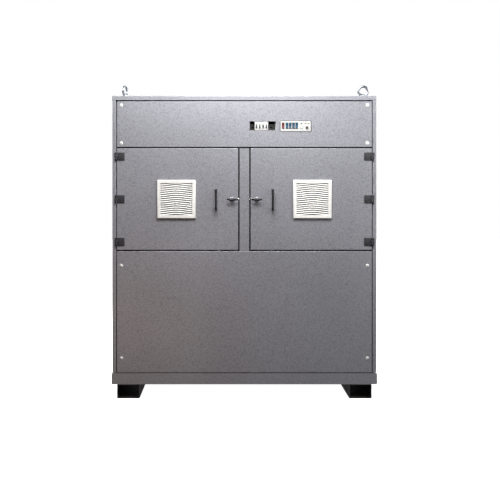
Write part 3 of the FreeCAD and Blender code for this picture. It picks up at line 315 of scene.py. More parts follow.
def addRound(name, centre, radius, length, axis="Y", corners=48):
    clearSelection()
    bpy.ops.mesh.primitive_cylinder_add(vertices=corners, radius=radius, depth=length, location=centre,
                                        rotation=turns[axis])
    return settle(bpy.context.object, name)


def addRing(name, centre, radius, wire, axis="Y", around=64, across=20):
    clearSelection()
    bpy.ops.mesh.primitive_torus_add(major_radius=radius, minor_radius=wire, major_segments=around,
                                     minor_segments=across, location=centre, rotation=turns[axis])
    return settle(bpy.context.object, name)


def everyFace(face):
    return True


def facing(axis, sign):
    return lambda face: face.normal[axisIndex[axis]] * sign > 0.9


def facingNear(x, z, reach, sign=-1):
    # faces across Y whose middle lies within reach of a line along Y
    near = lambda face: (face.calc_center_median().xz - Vector((x, z))).length < reach
    return lambda face: face.normal.y * sign > 0.9 and near(face)


def pickFaces(piece, test):
    # goes into edit mode with just these faces selected
    clearSelection()
    bpy.context.view_layer.objects.active = piece
    piece.select_set(True)
    bpy.ops.object.mode_set(mode="EDIT")
    bpy.ops.mesh.select_mode(type="FACE")
    bpy.ops.mesh.select_all(action="DESELECT")
    mesh = bmesh.from_edit_mesh(piece.data)
    for face in mesh.faces:
        face.select_set(bool(test(face)))
    mesh.select_flush(True)
    bmesh.update_edit_mesh(piece.data)


def pickEdges(piece, test):
    clearSelection()
    bpy.context.view_layer.objects.active = piece
    piece.select_set(True)
    bpy.ops.object.mode_set(mode="EDIT")
    bpy.ops.mesh.select_mode(type="EDGE")
    bpy.ops.mesh.select_all(action="DESELECT")
    mesh = bmesh.from_edit_mesh(piece.data)
    for edge in mesh.edges:
        a, b = (v.co for v in edge.verts)
        edge.select_set(bool(test(a, b)))
    mesh.select_flush(False)
    bmesh.update_edit_mesh(piece.data)


def leaveEdit():
    bpy.ops.object.mode_set(mode="OBJECT")


def step(piece, test, inset, push=(0, 0, 0)):
    # insets the chosen faces, then pushes them along an axis
    pickFaces(piece, test)
    if inset:
        bpy.ops.mesh.inset(thickness=inset, depth=0)
    if any(push):
        bpy.ops.mesh.extrude_region_move(TRANSFORM_OT_translate={"value": push})
    leaveEdit()


def stretchFaces(piece, test, factors, pivot):
    pickFaces(piece, test)
    bpy.ops.transform.resize(value=factors, center_override=pivot)
    leaveEdit()


def moveFaces(piece, test, move):
    pickFaces(piece, test)
    bpy.ops.transform.translate(value=move)
    leaveEdit()


def divideEdges(piece, test, cuts):
    pickEdges(piece, test)
    bpy.ops.mesh.subdivide(number_cuts=cuts)
    leaveEdit()


def bowEdges(piece, test, move, reach):
    # moves the chosen edges and draws what lies within reach along in a soft bow
    pickEdges(piece, test)
    bpy.ops.transform.translate(value=move, use_proportional_edit=True,
                                proportional_edit_falloff="SMOOTH", proportional_size=reach)
    leaveEdit()


def bevelEdges(piece, test, width, segments=3):
    pickEdges(piece, test)
    bpy.ops.mesh.bevel(offset=width, segments=segments, affect="EDGES")
    leaveEdit()


def applyModifier(piece, kind, name, **settings):
    clearSelection()
    bpy.context.view_layer.objects.active = piece
    piece.select_set(True)
    modifier = piece.modifiers.new(name, kind)
    for key, value in settings.items():
        setattr(modifier, key, value)
    bpy.ops.object.modifier_apply(modifier=name)


def roundOff(piece, width, segments=2, angle=30):
    applyModifier(piece, "BEVEL", "edges", width=width, segments=segments, limit_method="ANGLE",
                  angle_limit=radians(angle), harden_normals=False)
    smooth(piece)


def smoothOut(piece, levels):
    applyModifier(piece, "SUBSURF", "smoothing", levels=levels, render_levels=levels)
    smooth(piece)


def roundBox(name, low, high, edge, segments=2):
    box = addBox(name, low, high)
    roundOff(box, edge, segments)
    return box


def cutWith(piece, tool):
    applyModifier(piece, "BOOLEAN", "cut", operation="DIFFERENCE", object=tool, solver="EXACT")
    bpy.data.objects.remove(tool, do_unlink=True)


def smooth(piece, angle=35):
    clearSelection()
    bpy.context.view_layer.objects.active = piece
    piece.select_set(True)
    bpy.ops.object.shade_smooth_by_angle(angle=radians(angle))


def turnPiece(piece, degrees, axis, pivot):
    # with no window the operator turns the other way, so the angle is given its minus sign here
    pickFaces(piece, everyFace)
    bpy.ops.transform.rotate(value=-radians(degrees), orient_axis=axis, center_override=pivot)
    leaveEdit()


def copyPiece(piece, name, move=(0, 0, 0)):
    clearSelection()
    piece.select_set(True)
    bpy.context.view_layer.objects.active = piece
    bpy.ops.object.duplicate(linked=False)
    copy = bpy.context.object
    copy.name = name
    copy.data.name = name
    if any(move):
        moveFaces(copy, everyFace, move)
    return copy


def mirrorPiece(piece, name):
    # the same piece on the other side, with its faces turned the right way out again
    copy = copyPiece(piece, name)
    pickFaces(copy, everyFace)
    bpy.ops.transform.resize(value=(-1, 1, 1), center_override=(0, 0, 0))
    bpy.ops.mesh.remove_doubles(threshold=touch)
    bpy.ops.mesh.normals_make_consistent(inside=False)
    leaveEdit()
    return copy


def joinPieces(name, members):
    clearSelection()
    for piece in members:
        piece.select_set(True)
    bpy.context.view_layer.objects.active = members[0]
    bpy.ops.object.join()
    joined = bpy.context.object
    joined.name = name
    joined.data.name = name
    return joined


def paint(piece, material):
    piece.data.materials.clear()
    piece.data.materials.append(material)
    return piece


def place(piece, body, slotName, *replaced):
    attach(piece, body)
    if replaced:
        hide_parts(*replaced)


def placePair(make, label, body, slotName, node=None):
    # the right piece is modelled and the left one mirrored, each on its own side's body
    right = make(label + ".right")
    left = mirrorPiece(right, label + ".left")
    for piece, side in ((right, "right"), (left, "left")):
        place(piece, body + side, slotName, *([node + side] if node else []))


def middle(node):
    low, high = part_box(node)
    return (low + high) / 2


# ---- filter-fan grilles: a frame with a raised border, arched louvre blades and a release notch
grille = {"border": 18 * mm, "edge": 5 * mm, "blades": 15, "bladeThick": 1.5 * mm, "bladeDeep": 7 * mm,
          "bladeDrop": 5.6 * mm, "arch": 7 * mm, "notch": (14 * mm, 2.2 * mm)}


def louvreBlade(low, high, z):
    # a thin slat, tipped down at its front, lifted to an arch in its middle
    x0, x1 = low.x + grille["border"] - 1 * mm, high.x - grille["border"] + 1 * mm
    y0, y1 = low.y + 0.6 * mm, low.y + 0.6 * mm + grille["bladeDeep"]
    blade = addBox("blade", (x0, y0, z), (x1, y1, z + grille["bladeThick"]))
    divideEdges(blade, lambda a, b: abs(a.x - b.x) > 50 * mm, 15)
    moveFaces(blade, facing("Y", -1), (0, 0, -grille["bladeDrop"]))
    centre = (x0 + x1) / 2
    atCentre = lambda a, b: abs(a.x - centre) < touch and abs(b.x - centre) < touch
    bowEdges(blade, atCentre, (0, 0, grille["arch"]), (x1 - x0) / 2)
    return blade


def makeGrille(name):
    low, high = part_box("grille_right")
    border = grille["border"]
    shell = addBox("grilleFrame", low, high)
    bevelEdges(shell, lambda a, b: a.y < low.y + touch and b.y < low.y + touch, grille["edge"], 4)
    cutWith(shell, addBox("field", (low.x + border, low.y - 1 * mm, low.z + border),
                          (high.x - border, high.y + 1 * mm, high.z - border)))
    notchX, notchZ = grille["notch"]
    centre = (low + high) / 2
    tool = addBox("notch", (centre.x - notchX / 2, low.y - 1 * mm, high.z - 11 * mm),
                  (centre.x + notchX / 2, low.y + 2 * mm, high.z - 11 * mm + notchZ))
    cutWith(shell, tool)
    roundOff(shell, 0.6 * mm, 2, 50)
    field = high.z - low.z - 2 * border
    pitch = field / grille["blades"]
    first = louvreBlade(low, high, low.z + border + 0.42 * pitch)
    roundOff(first, 0.4 * mm, 2, 50)
    blades = [first] + [copyPiece(first, "blade", (0, 0, k * pitch)) for k in range(1, grille["blades"])]
    return paint(joinPieces(name, [shell] + blades), greyAbs)


placePair(makeGrille, "grilleCover", "grille_flap_", "grille_plastic", "grille_")
print("grilles made")


# ---- pull handles: one bow, drawn out of its lower foot
handle = {"thick": 11 * mm, "foot": 15 * mm, "edge": 4 * mm, "spread": 1.18}


def makeHandle(name):
    low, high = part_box("pull_handle_right")
    thick, foot = handle["thick"], handle["foot"]
    bow = addBox(name, (low.x, low.y + thick, low.z), (high.x, frontY, low.z + foot))
    step(bow, facing("Y", -1), 0, (0, -thick, 0))
    grip = high.z - low.z - 2 * foot
    inBow = lambda face: face.normal.z > 0.9 and face.calc_center_median().y < low.y + thick
    step(bow, inBow, 0, (0, 0, grip))
    step(bow, inBow, 0, (0, 0, foot))
    topBack = lambda face: face.normal.y > 0.9 and face.calc_center_median().z > high.z - foot
    step(bow, topBack, 0, (0, frontY - low.y - thick, 0))
    centre = (low + high) / 2
    for z in (low.z + foot / 2, high.z - foot / 2):
        atDoor = lambda face: face.normal.y > 0.9 and abs(face.calc_center_median().z - z) < foot / 2
        stretchFaces(bow, atDoor, (handle["spread"], 1, handle["spread"]), (centre.x, frontY, z))
    roundOff(bow, handle["edge"], 5, 40)
    return paint(bow, polyamide)


placePair(makeHandle, "pullHandle", "door_", "handle_black", "pull_handle_")
print("pull handles made")


# ---- wing latches: chrome rosette and hasp eye, black wing, plated shaft and cam
latch = {"x": 65.5 * mm, "rosette": 13 * mm, "plate": 5 * mm, "hub": 7.2 * mm, "shaft": 6 * mm,
         "wing": (20 * mm, 55 * mm), "eyeX": 30 * mm, "eyeRise": 4 * mm, "eyeRing": 3.5 * mm,
         "eyeWire": 1.4 * mm, "camWidth": 16 * mm, "air": 0.3 * mm}
latchZ = middle("latch_housing_right").z


def makeLatchBase(name):
    x, z, r, plate = latch["x"], latchZ, latch["rosette"], latch["plate"]
    rosette = addRound("rosette", (x, frontY - plate / 2, z), r, plate)
    step(rosette, facing("Y", -1), 1.6 * mm, (0, -hair, 0))
    stretchFaces(rosette, facing("Y", -1), (0.86, 1, 0.86), (x, frontY - plate, z))
    step(rosette, facing("Y", -1), 1.2 * mm, (0, 1.2 * mm, 0))
    roundOff(rosette, 0.7 * mm, 3, 25)
    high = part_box("latch_housing_right")[1]
    neck = addRound("neck", (x, (frontY + high.y) / 2, z), r - 3 * mm, high.y - frontY)
    step(neck, facing("Y", 1), 2 * mm, (0, hair, 0))
    roundOff(neck, 0.4 * mm)
    nut = addRound("nut", (x, frontY + 4.5 * mm, z), r, 5 * mm, "Y", 6)
    roundOff(nut, 0.8 * mm)
    eyeZ, back = z + latch["eyeRise"], frontY - 0.5 * mm
    arm = addBox("arm", (latch["eyeX"] + 3 * mm, back - 2.8 * mm, eyeZ - 3 * mm),
                 (x - 8 * mm, back, eyeZ + 3 * mm))
    step(arm, facing("Y", -1), 0.8 * mm, (0, -0.2 * mm, 0))
    seat = roundBox("seat", (latch["eyeX"] + 6 * mm, back, eyeZ - 2.6 * mm),
                    (x - 9 * mm, frontY, eyeZ + 2.6 * mm), 0.1 * mm, 1)
    roundOff(arm, 0.7 * mm)
    eye = addRing("eye", (latch["eyeX"], back - latch["eyeWire"], eyeZ), latch["eyeRing"], latch["eyeWire"],
                  "Y", 32, 12)
    smooth(eye)
    return paint(joinPieces(name, [rosette, neck, nut, arm, seat, eye]), chromePlate)


def makeWing(name):
    # a block in the middle, its ends drawn out into two lifted wings
    x, z = latch["x"], latchZ
    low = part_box("latch_knob_right")[0]
    y0, y1 = low.y, low.y + 10 * mm
    core, span = latch["wing"]
    wing = addBox("wing", (x - core / 2, y0, z - 6.6 * mm), (x + core / 2, y1, z + 6.6 * mm))
    reach = (span - core) / 2
    for side in sides.values():
        tip = lambda face: face.normal.x * side > 0.9
        for share, tall, drop in ((0.55, 1.12, 1.6), (0.45, 0.62, 1.4)):
            step(wing, tip, 0, (side * reach * share, 0, drop * mm))
            pickFaces(wing, tip)
            bpy.ops.transform.resize(value=(1, 0.86, tall))
            leaveEdit()
    atCore = lambda a, b: abs(a.x - b.x) < touch and abs(abs(a.x - x) - core / 2) < touch
    bevelEdges(wing, atCore, 1 * mm, 1)
    smoothOut(wing, 3)
    hubBack = frontY - latch["plate"] - latch["air"]
    hub = addRound("hub", (x, (y0 + 3 * mm + hubBack) / 2, z), latch["hub"], hubBack - y0 - 3 * mm)
    stretchFaces(hub, facing("Y", -1), (0.8, 1, 0.8), (x, y0, z))
    roundOff(hub, 0.8 * mm, 3)
    return paint(joinPieces(name, [wing, hub]), polyamide)


def makeCam(name):
    x, z = latch["x"], latchZ
    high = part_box("latch_knob_right")[1]
    thick = 3 * mm
    shaftFront = frontY - latch["plate"] - latch["air"]
    shaft = addRound("shaft", (x, (shaftFront + high.y) / 2, z), latch["shaft"] - 0.05 * mm,
                     high.y - shaftFront)
    step(shaft, facing("Y", 1), 1.2 * mm, (0, hair, 0))
    cam = addBox("cam", (x - latch["camWidth"] / 2, high.y - thick, z - 8 * mm),
                 (x + latch["camWidth"] / 2, high.y, high.z))
    bevelEdges(cam, lambda a, b: abs(a.y - b.y) > 1 * mm, 4 * mm, 5)
    roundOff(cam, 0.3 * mm)
    smooth(shaft)
    bolt = addRound("camBolt", (x, high.y + 1.4 * mm, z), 4.6 * mm, 2.8 * mm, "Y", 6)
    roundOff(bolt, 0.4 * mm)
    return paint(joinPieces(name, [shaft, cam, bolt]), zincPlate)


placePair(makeLatchBase, "latchRosette", "door_", "chrome", "latch_housing_")
placePair(makeWing, "latchWing", "latch_", "handle_black", "latch_knob_")
placePair(makeCam, "latchCam", "latch_", "zinc_steel")
print("latches made")


# ---- hinges: outer knuckles and pin on the post, middle knuckle on the door, two screws in each door leaf
hinge = {"barrel": 5.5 * mm, "leaf": 4 * mm, "air": 0.5 * mm, "tall": 42 * mm, "end": 43 * mm,
         "edge": 1.1 * mm, "screw": 3.6 * mm, "screwIn": 13 * mm, "screwUp": 12 * mm,
         "slack": 0.3 * mm, "reach": 43.5 * mm}
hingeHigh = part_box("hinge_frame_leaves")[1]
axisX = hingeHigh.x - 9 * mm
axisY = frontY - hinge["barrel"] - hinge["air"]
doorLow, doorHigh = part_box("door_right")
hingeLevels = (doorLow.z + hinge["end"], (doorLow.z + doorHigh.z) / 2, doorHigh.z - hinge["end"])


def knuckle(low, high):
    ring = addRound("knuckle", (axisX, axisY, (low + high) / 2), hinge["barrel"] - 0.05 * mm,
                    high - low, "Z", 32)
    step(ring, lambda face: abs(face.normal.z) > 0.9, 1.2 * mm)
    roundOff(ring, 0.35 * mm, 2, 50)
    return ring


def sunkScrew(x, z):
    # a countersunk head with a round recess in it, a hair proud of the leaf
    y = frontY - hinge["leaf"]
    head = addRound("screw", (x, y + 0.2 * mm, z), hinge["screw"], 0.7 * mm, "Y", 24)
    step(head, facing("Y", -1), hinge["screw"] * 0.45)
    step(head, facingNear(x, z, 0.1 * mm), 0, (0, 0.5 * mm, 0))
    return head


def makeDoorLeaf(z):
    half, third = hinge["tall"] / 2, hinge["tall"] / 6
    x0, x1 = axisX - hinge["reach"], axisX - hinge["barrel"] - hinge["air"]
    leaf = addBox("leaf", (x0, frontY - hinge["leaf"], z - half), (x1, frontY, z + half))
    bevelEdges(leaf, lambda a, b: abs(a.y - b.y) > 1 * mm and a.x < x0 + touch, 3 * mm, 4)
    roundOff(leaf, hinge["edge"] * 0.6, 3)
    arm = roundBox("arm", (x1 - 2 * mm, axisY - hinge["barrel"] + 2 * mm, z - third + 0.1 * mm),
                   (axisX - 1 * mm, frontY - 1 * mm, z + third - 0.1 * mm), 0.5 * mm)
    return [leaf, arm, knuckle(z - third, z + third)]


def makeLeafScrews(z):
    x0 = axisX - hinge["reach"]
    return [sunkScrew(x0 + hinge["screwIn"], z + side * hinge["screwUp"]) for side in (-1, 1)]


def makePostLeaf(z):
    half, third = hinge["tall"] / 2, hinge["tall"] / 6
    x1 = axisX + 9 * mm
    outer = hinge["barrel"] + hinge["air"]
    pieces = []
    for low, high in ((z - half, z - third - hinge["slack"]), (z + third + hinge["slack"], z + half)):
        lug = roundBox("lug", (axisX + 1 * mm, frontY - hinge["leaf"], low + 0.05 * mm),
                       (x1, frontY, high - 0.05 * mm), 0.5 * mm)
        pieces += [lug, knuckle(low, high)]
    spine = roundBox("spine", (axisX + outer, frontY - hinge["leaf"], z - half),
                     (x1, frontY, z + half), 0.5 * mm)
    pin = addRound("pin", (axisX, axisY, z + 0.75 * mm), 2.5 * mm, hinge["tall"] + 1.5 * mm, "Z", 24)
    cap = addRound("cap", (axisX, axisY, z + half + 0.75 * mm), 4 * mm, 1.5 * mm, "Z", 24)
    roundOff(cap, 0.5 * mm)
    return pieces + [spine, pin, cap]


def threeHinges(make, finish):
    # gives a maker for the same piece at each of the three levels
    def makeAll(name):
        first = joinPieces(name, make(hingeLevels[0]))
        others = [copyPiece(first, "copy", (0, 0, z - hingeLevels[0])) for z in hingeLevels[1:]]
        return paint(joinPieces(name, [first] + others), finish)
    return makeAll


placePair(threeHinges(makeDoorLeaf, hingeCoat), "hingeLeaf", "door_", "hinge_black", "hinge_door_leaves_")
placePair(threeHinges(makeLeafScrews, screwDark), "hingeScrews", "door_", "hinge_black")
postLeafRight = threeHinges(makePostLeaf, hingeCoat)("hingePost.right")
postLeafLeft = mirrorPiece(postLeafRight, "hingePost.left")
place(postLeafRight, "cabinet", "hinge_black", "hinge_frame_leaves")
place(postLeafLeft, "cabinet", "hinge_black")
print("hinges made")


# ---- lifting eyes: forged ring, waisted neck and round flange, with the shank under the lid
eye = {"ring": 24.5 * mm, "wire": 7 * mm, "rise": 30.5 * mm, "flange": 18 * mm, "flangeTall": 8 * mm,
       "shank": 7.9 * mm, "turns": {"front_left": 70, "front_right": 0, "rear_left": 25, "rear_right": 90}}


def makeEye(name, x, y, turn):
    lid = lidHigh.z
    ring = addRing("ring", (x, y, lid + eye["rise"]), eye["ring"], eye["wire"], "Y", 72, 24)
    pickFaces(ring, lambda face: face.calc_center_median().z < lid + 3 * mm)
    bpy.ops.mesh.delete(type="FACE")
    bpy.ops.mesh.select_all(action="DESELECT")
    bpy.ops.mesh.select_mode(type="EDGE")
    bpy.ops.mesh.select_non_manifold()
    bpy.ops.mesh.fill()
    leaveEdit()
    smooth(ring, 60)
    neck = addRound("neck", (x, y, lid + eye["flangeTall"] + 1.5 * mm), 12.5 * mm, 9 * mm, "Z", 48)
    stretchFaces(neck, facing("Z", 1), (0.62, 0.52, 1), (x, y, lid + 14 * mm))
    roundOff(neck, 1.5 * mm, 3)
    flange = addRound("flange", (x, y, lid + eye["flangeTall"] / 2), eye["flange"],
                      eye["flangeTall"], "Z", 64)
    step(flange, facing("Z", 1), 2.5 * mm)
    stretchFaces(flange, lambda face: face.normal.z > 0.9, (0.97, 0.97, 1), (x, y, lid))
    roundOff(flange, 1.8 * mm, 4, 50)
    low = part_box("lifting_eye_" + name.split(".")[1])[0].z
    shank = addRound("shank", (x, y, (low + lid) / 2), eye["shank"], lid - low, "Z", 32)
    step(shank, facing("Z", -1), 1.5 * mm, (0, 0, hair))
    whole = joinPieces(name, [ring, neck, flange, shank])
    turnPiece(whole, turn, "Z", (x, y, 0))
    return paint(whole, eyeZinc)


for where, turn in eye["turns"].items():
    spot = middle("lifting_eye_" + where)
    made = makeEye("liftingEye." + where, spot.x, spot.y, turn)
    place(made, "cabinet", "zinc_steel", "lifting_eye_" + where)
print("lifting eyes made")


# ---- panel screws: domed socket heads on bright washers
screw = {"washer": 9 * mm, "washerThick": 1.5 * mm, "head": 5.5 * mm, "headTall": 2.5 * mm,
         "socket": 2.2 * mm, "side": 24 * mm, "levels": (213, 702, 1349, 1550),
         "sideLevels": (213, 857.5, 1550), "sideHalf": 350 * mm}


def makeScrew(name):
    # modelled at the middle of its washer's back, facing -Y, and copied from there
    washer = addRound("washer", (0, -screw["washerThick"] / 2, 0), screw["washer"],
                      screw["washerThick"], "Y", 40)
    roundOff(washer, 0.4 * mm)
    top = -screw["washerThick"] - screw["headTall"]
    head = addRound("head", (0, -screw["washerThick"] - screw["headTall"] / 2, 0), screw["head"],
                    screw["headTall"], "Y", 36)
    stretchFaces(head, facing("Y", -1), (0.8, 1, 0.8), (0, top, 0))
    roundOff(head, 0.9 * mm, 3)
    socket = addRound("socket", (0, top + 0.5 * mm, 0), screw["socket"], 2.2 * mm, "Y", 6)
    cutWith(head, socket)
    return joinPieces(name, [washer, head])


def spreadScrews():
    first = makeScrew("panelScrews")
    x = panelHigh.x - screw["side"]
    front = [copyPiece(first, "screw", (side * x, frontY, z * mm))
             for side in sides.values() for z in screw["levels"]]
    rear, left, right = [copyPiece(made, "screw") for made in front], [], []
    for made in rear:
        turnPiece(made, 180, "Z", (0, middleY, 0))
    for y in (-screw["sideHalf"], screw["sideHalf"]):
        for z in screw["sideLevels"]:
            for side, group in ((1, right), (-1, left)):
                made = copyPiece(first, "screw", (0, 0, z * mm))
                turnPiece(made, 90 * side, "Z", (0, 0, 0))
                moveFaces(made, everyFace, (side * sideOut, middleY + y, 0))
                group.append(made)
    return paint(joinPieces("panelScrews", front + rear + left + right), screwZinc), first


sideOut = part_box("side_panel_right")[1].x
panelScrews, spare = spreadScrews()
bpy.data.objects.remove(spare, do_unlink=True)
place(panelScrews, "cabinet", "zinc_steel", "panel_screws")
print("panel screws made")


# ---- breaker: four poles side by side, each with a stepped nose, a lever slot, a flag and a terminal screw
breaker = {"pole": 17.5 * mm, "poles": 4, "noseTall": 45 * mm, "noseDeep": 18 * mm, "bodyTall": 85 * mm,
           "slot": (3.6 * mm, 9.5 * mm), "gap": 0.35 * mm, "flag": (2.6 * mm, 1.6 * mm), "flagUp": 9.4 * mm,
           "screwEnd": 9 * mm, "toggleR": 4 * mm, "leverOut": 15 * mm, "leverHalf": 3 * mm, "tilt": 20}
breakerLow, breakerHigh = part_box("breaker_body")
breakerZ = (breakerLow.z + breakerHigh.z) / 2
toggleY, toggleZ = frontY + 8 * mm, breakerZ - 4 * mm


def makePole(name):
    # the pole's body with the nose drawn forward from its front face
    x0, x1 = breakerLow.x + breaker["gap"] / 2, breakerLow.x + breaker["pole"] - breaker["gap"] / 2
    centre = (x0 + x1) / 2
    noseBack = breakerLow.y + breaker["noseDeep"]
    half = breaker["noseTall"] / 2
    pole = addBox("pole", (x0, noseBack, breakerLow.z), (x1, breakerHigh.y, breakerHigh.z))
    for level in (breakerZ - half, breakerZ + half):
        pickFaces(pole, everyFace)
        bpy.ops.mesh.bisect(plane_co=(0, 0, level), plane_no=(0, 0, 1))
        leaveEdit()
    nose = lambda face: face.normal.y < -0.9 and abs(face.calc_center_median().z - breakerZ) < half * 0.9
    step(pole, nose, 0, (0, breakerLow.y - noseBack, 0))
    slotX, slotZ = breaker["slot"]
    cutWith(pole, addBox("slot", (centre - slotX, breakerLow.y - 1 * mm, toggleZ - slotZ),
                         (centre + slotX, toggleY + 4.5 * mm, toggleZ + slotZ)))
    cutWith(pole, addRound("seat", ((x0 + x1) / 2, toggleY, toggleZ), breaker["toggleR"] + 0.4 * mm,
                           breaker["pole"] + 1 * mm, "X", 32))
    flagX, flagZ = breaker["flag"]
    flagMid = breakerZ + breaker["flagUp"]
    cutWith(pole, addBox("flagPocket", (centre - flagX, breakerLow.y - 1 * mm, flagMid - flagZ),
                         (centre + flagX, breakerLow.y + 0.8 * mm, flagMid + flagZ)))
    for end in (-1, 1):
        z = breakerZ + end * (breaker["bodyTall"] / 2 - breaker["screwEnd"])
        cutWith(pole, addRound("well", (centre, noseBack + 2 * mm, z), 3 * mm, 10 * mm, "Y", 24))
    roundOff(pole, 0.45 * mm, 2, 40)
    return pole


def makePoleFittings():
    # a coloured flag in its pocket and two slotted terminal screws down their wells
    centre = breakerLow.x + breaker["pole"] / 2
    flagX, flagZ = breaker["flag"]
    flagMid = breakerZ + breaker["flagUp"]
    flag = roundBox("flag", (centre - flagX, breakerLow.y + 0.3 * mm, flagMid - flagZ),
                    (centre + flagX, breakerLow.y + 0.9 * mm, flagMid + flagZ), 0.15 * mm)
    screws = []
    for end in (-1, 1):
        z = breakerZ + end * (breaker["bodyTall"] / 2 - breaker["screwEnd"])
        y = breakerLow.y + breaker["noseDeep"] + 4.5 * mm
        head = addRound("terminal", (centre, y + 1.5 * mm, z), 2.9 * mm, 3 * mm, "Y", 24)
        cutWith(head, addBox("slot", (centre - 3.2 * mm, y - 1 * mm, z - 0.45 * mm),
                             (centre + 3.2 * mm, y + 0.8 * mm, z + 0.45 * mm)))
        roundOff(head, 0.2 * mm, 2, 50)
        screws.append(head)
    return flag, joinPieces("terminal", screws)


def spread(first, name, count, pitch):
    return joinPieces(name, [first] + [copyPiece(first, "copy", (k * pitch, 0, 0)) for k in range(1, count)])


def onEachPole(first, name, finish, *replaced):
    row = paint(spread(first, name, breaker["poles"], breaker["pole"]), finish)
    place(row, "cabinet", "breaker_plastic", *replaced)


onEachPole(makePole("pole"), "breakerPoles", breakerShell, "breaker_body")
flagFirst, terminalFirst = makePoleFittings()
onEachPole(flagFirst, "breakerFlags", flagGreen)
onEachPole(terminalFirst, "breakerTerminals", nickelTurned)


def makeToggle(name):
    # one barrel through all poles, with a tapered ribbed lever for each
    half = breaker["pole"] * breaker["poles"] / 2
    middleX = breakerLow.x + half
    barrel = addRound("barrel", (middleX, toggleY, toggleZ), breaker["toggleR"], 2 * half - 0.4 * mm, "X", 32)
    step(barrel, lambda face: abs(face.normal.x) > 0.9, 0.8 * mm)
    pieces = [barrel]
    for k in range(breaker["poles"]):
        x = breakerLow.x + (k + 0.5) * breaker["pole"]
        lever = addBox("lever", (x - breaker["leverHalf"], toggleY - breaker["leverOut"], toggleZ - 2.5 * mm),
                       (x + breaker["leverHalf"], toggleY, toggleZ + 2.5 * mm))
        stretchFaces(lever, facing("Y", -1), (0.94, 1, 0.72), (x, toggleY - breaker["leverOut"], toggleZ))
        roundOff(lever, 0.7 * mm, 3)
        pieces.append(lever)
        for n in range(3):
            ribY = toggleY - 11 * mm + n * 1.7 * mm
            pieces.append(roundBox("rib", (x - 2.2 * mm, ribY, toggleZ + 1.6 * mm),
                                   (x + 2.2 * mm, ribY + 0.8 * mm, toggleZ + 2.55 * mm), 0.2 * mm))
    smooth(barrel)
    whole = joinPieces(name, pieces)
    turnPiece(whole, breaker["tilt"], "X", (middleX, toggleY, toggleZ))
    return paint(whole, toggleBlack)


place(makeToggle("breakerLevers"), "toggle", "toggle_plastic", "breaker_toggle")
print("breaker made")


# ---- switch plate: a white face with rounded corners, dark end rims, rocker frames and lamp bezels
plate = {"thick": 3 * mm, "corner": 2.5 * mm, "rim": 4.2 * mm, "topShade": 3.2 * mm, "frame": 1.3 * mm,
         "proud": 0.8 * mm, "lamp": 3 * mm,
         "rockers": {"rocker_red": -66, "rocker_blue_1": -45.2, "rocker_blue_2": -28.2,
                     "rocker_blue_3": -11.2, "rocker_blue_4": 5.8}, "lamps": (31.4, 52.4, 68.4)}
plateLow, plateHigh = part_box("switch_panel")
plateX, plateZ = (plateLow.x + plateHigh.x) / 2, (plateLow.z + plateHigh.z) / 2
plateFront = frontY - plate["thick"]
rocker = {"wide": 10.6 * mm, "tall": 29.5 * mm, "axisY": frontY - 1 * mm, "z": plateZ + 1 * mm, "tilt": 8,
          "boxWall": 1.5 * mm, "boxDeep": 26 * mm, "gap": 0.4 * mm}
button = {"x": plateX + 31.4 * mm, "z": plateZ - 6 * mm, "r": 6.5 * mm, "out": 5 * mm}
selector = {"x": plateX + 60.4 * mm, "z": plateZ - 9 * mm, "r": 8 * mm, "out": 11 * mm}
lampZ = plateZ + 13 * mm
keyHalfW, keyHalfH = rocker["wide"] / 2 + rocker["gap"], rocker["tall"] / 2 + 0.9 * mm


def makePlate(name):
    face = addBox("face", (plateLow.x, plateFront, plateLow.z), (plateHigh.x, frontY, plateHigh.z))
    bevelEdges(face, lambda a, b: abs(a.y - b.y) > 1 * mm, plate["corner"], 4)
    boxes = []
    for offset in plate["rockers"].values():
        x = plateX + offset * mm
        wall = rocker["boxWall"]
        hole = (x - keyHalfW, x + keyHalfW, rocker["z"] - keyHalfH, rocker["z"] + keyHalfH)
        cutWith(face, addBox("hole", (hole[0], plateFront - 1 * mm, hole[2]),
                             (hole[1], frontY + 1 * mm, hole[3])))
        shell = addBox("shell", (hole[0] - wall, frontY, hole[2] - wall),
                       (hole[1] + wall, frontY + rocker["boxDeep"], hole[3] + wall))
        step(shell, facing("Y", -1), wall)
        floor = lambda face: (face.normal.y < -0.9 and abs(face.calc_center_median().x - x) < 1 * mm
                              and face.calc_area() > 1.5 * keyHalfW * keyHalfH)
        step(shell, floor, 0, (0, 12 * mm, 0))
        roundOff(shell, 0.3 * mm)
        boxes.append(shell)
    holes = [(button["x"], button["z"], button["r"]), (selector["x"], selector["z"], 3 * mm)]
    holes += [(plateX + offset * mm, lampZ, plate["lamp"]) for offset in plate["lamps"]]
    for x, z, r in holes:
        cutWith(face, addRound("hole", (x, frontY - 1.5 * mm, z), r + 0.05 * mm, 8 * mm, "Y", 40))
    roundOff(face, 0.5 * mm, 3, 50)
    guide = addRound("guide", (button["x"], frontY + 10 * mm, button["z"]), button["r"] + 2.5 * mm,
                     20 * mm, "Y", 40)
    step(guide, facing("Y", -1), 2.45 * mm)
    step(guide, lambda face: face.normal.y < -0.9 and face.calc_area() > 100 * mm * mm, 0, (0, 16 * mm, 0))
    seat = addRound("seat", (selector["x"], frontY + 9 * mm, selector["z"]), 7 * mm, 18 * mm, "Y", 40)
    step(seat, facing("Y", -1), 3.95 * mm)
    step(seat, lambda face: face.normal.y < -0.9 and face.calc_area() > 20 * mm * mm, 0, (0, 14 * mm, 0))
    smooth(guide)
    smooth(seat)
    return paint(joinPieces(name, [face] + boxes + [guide, seat]), plateWhite)


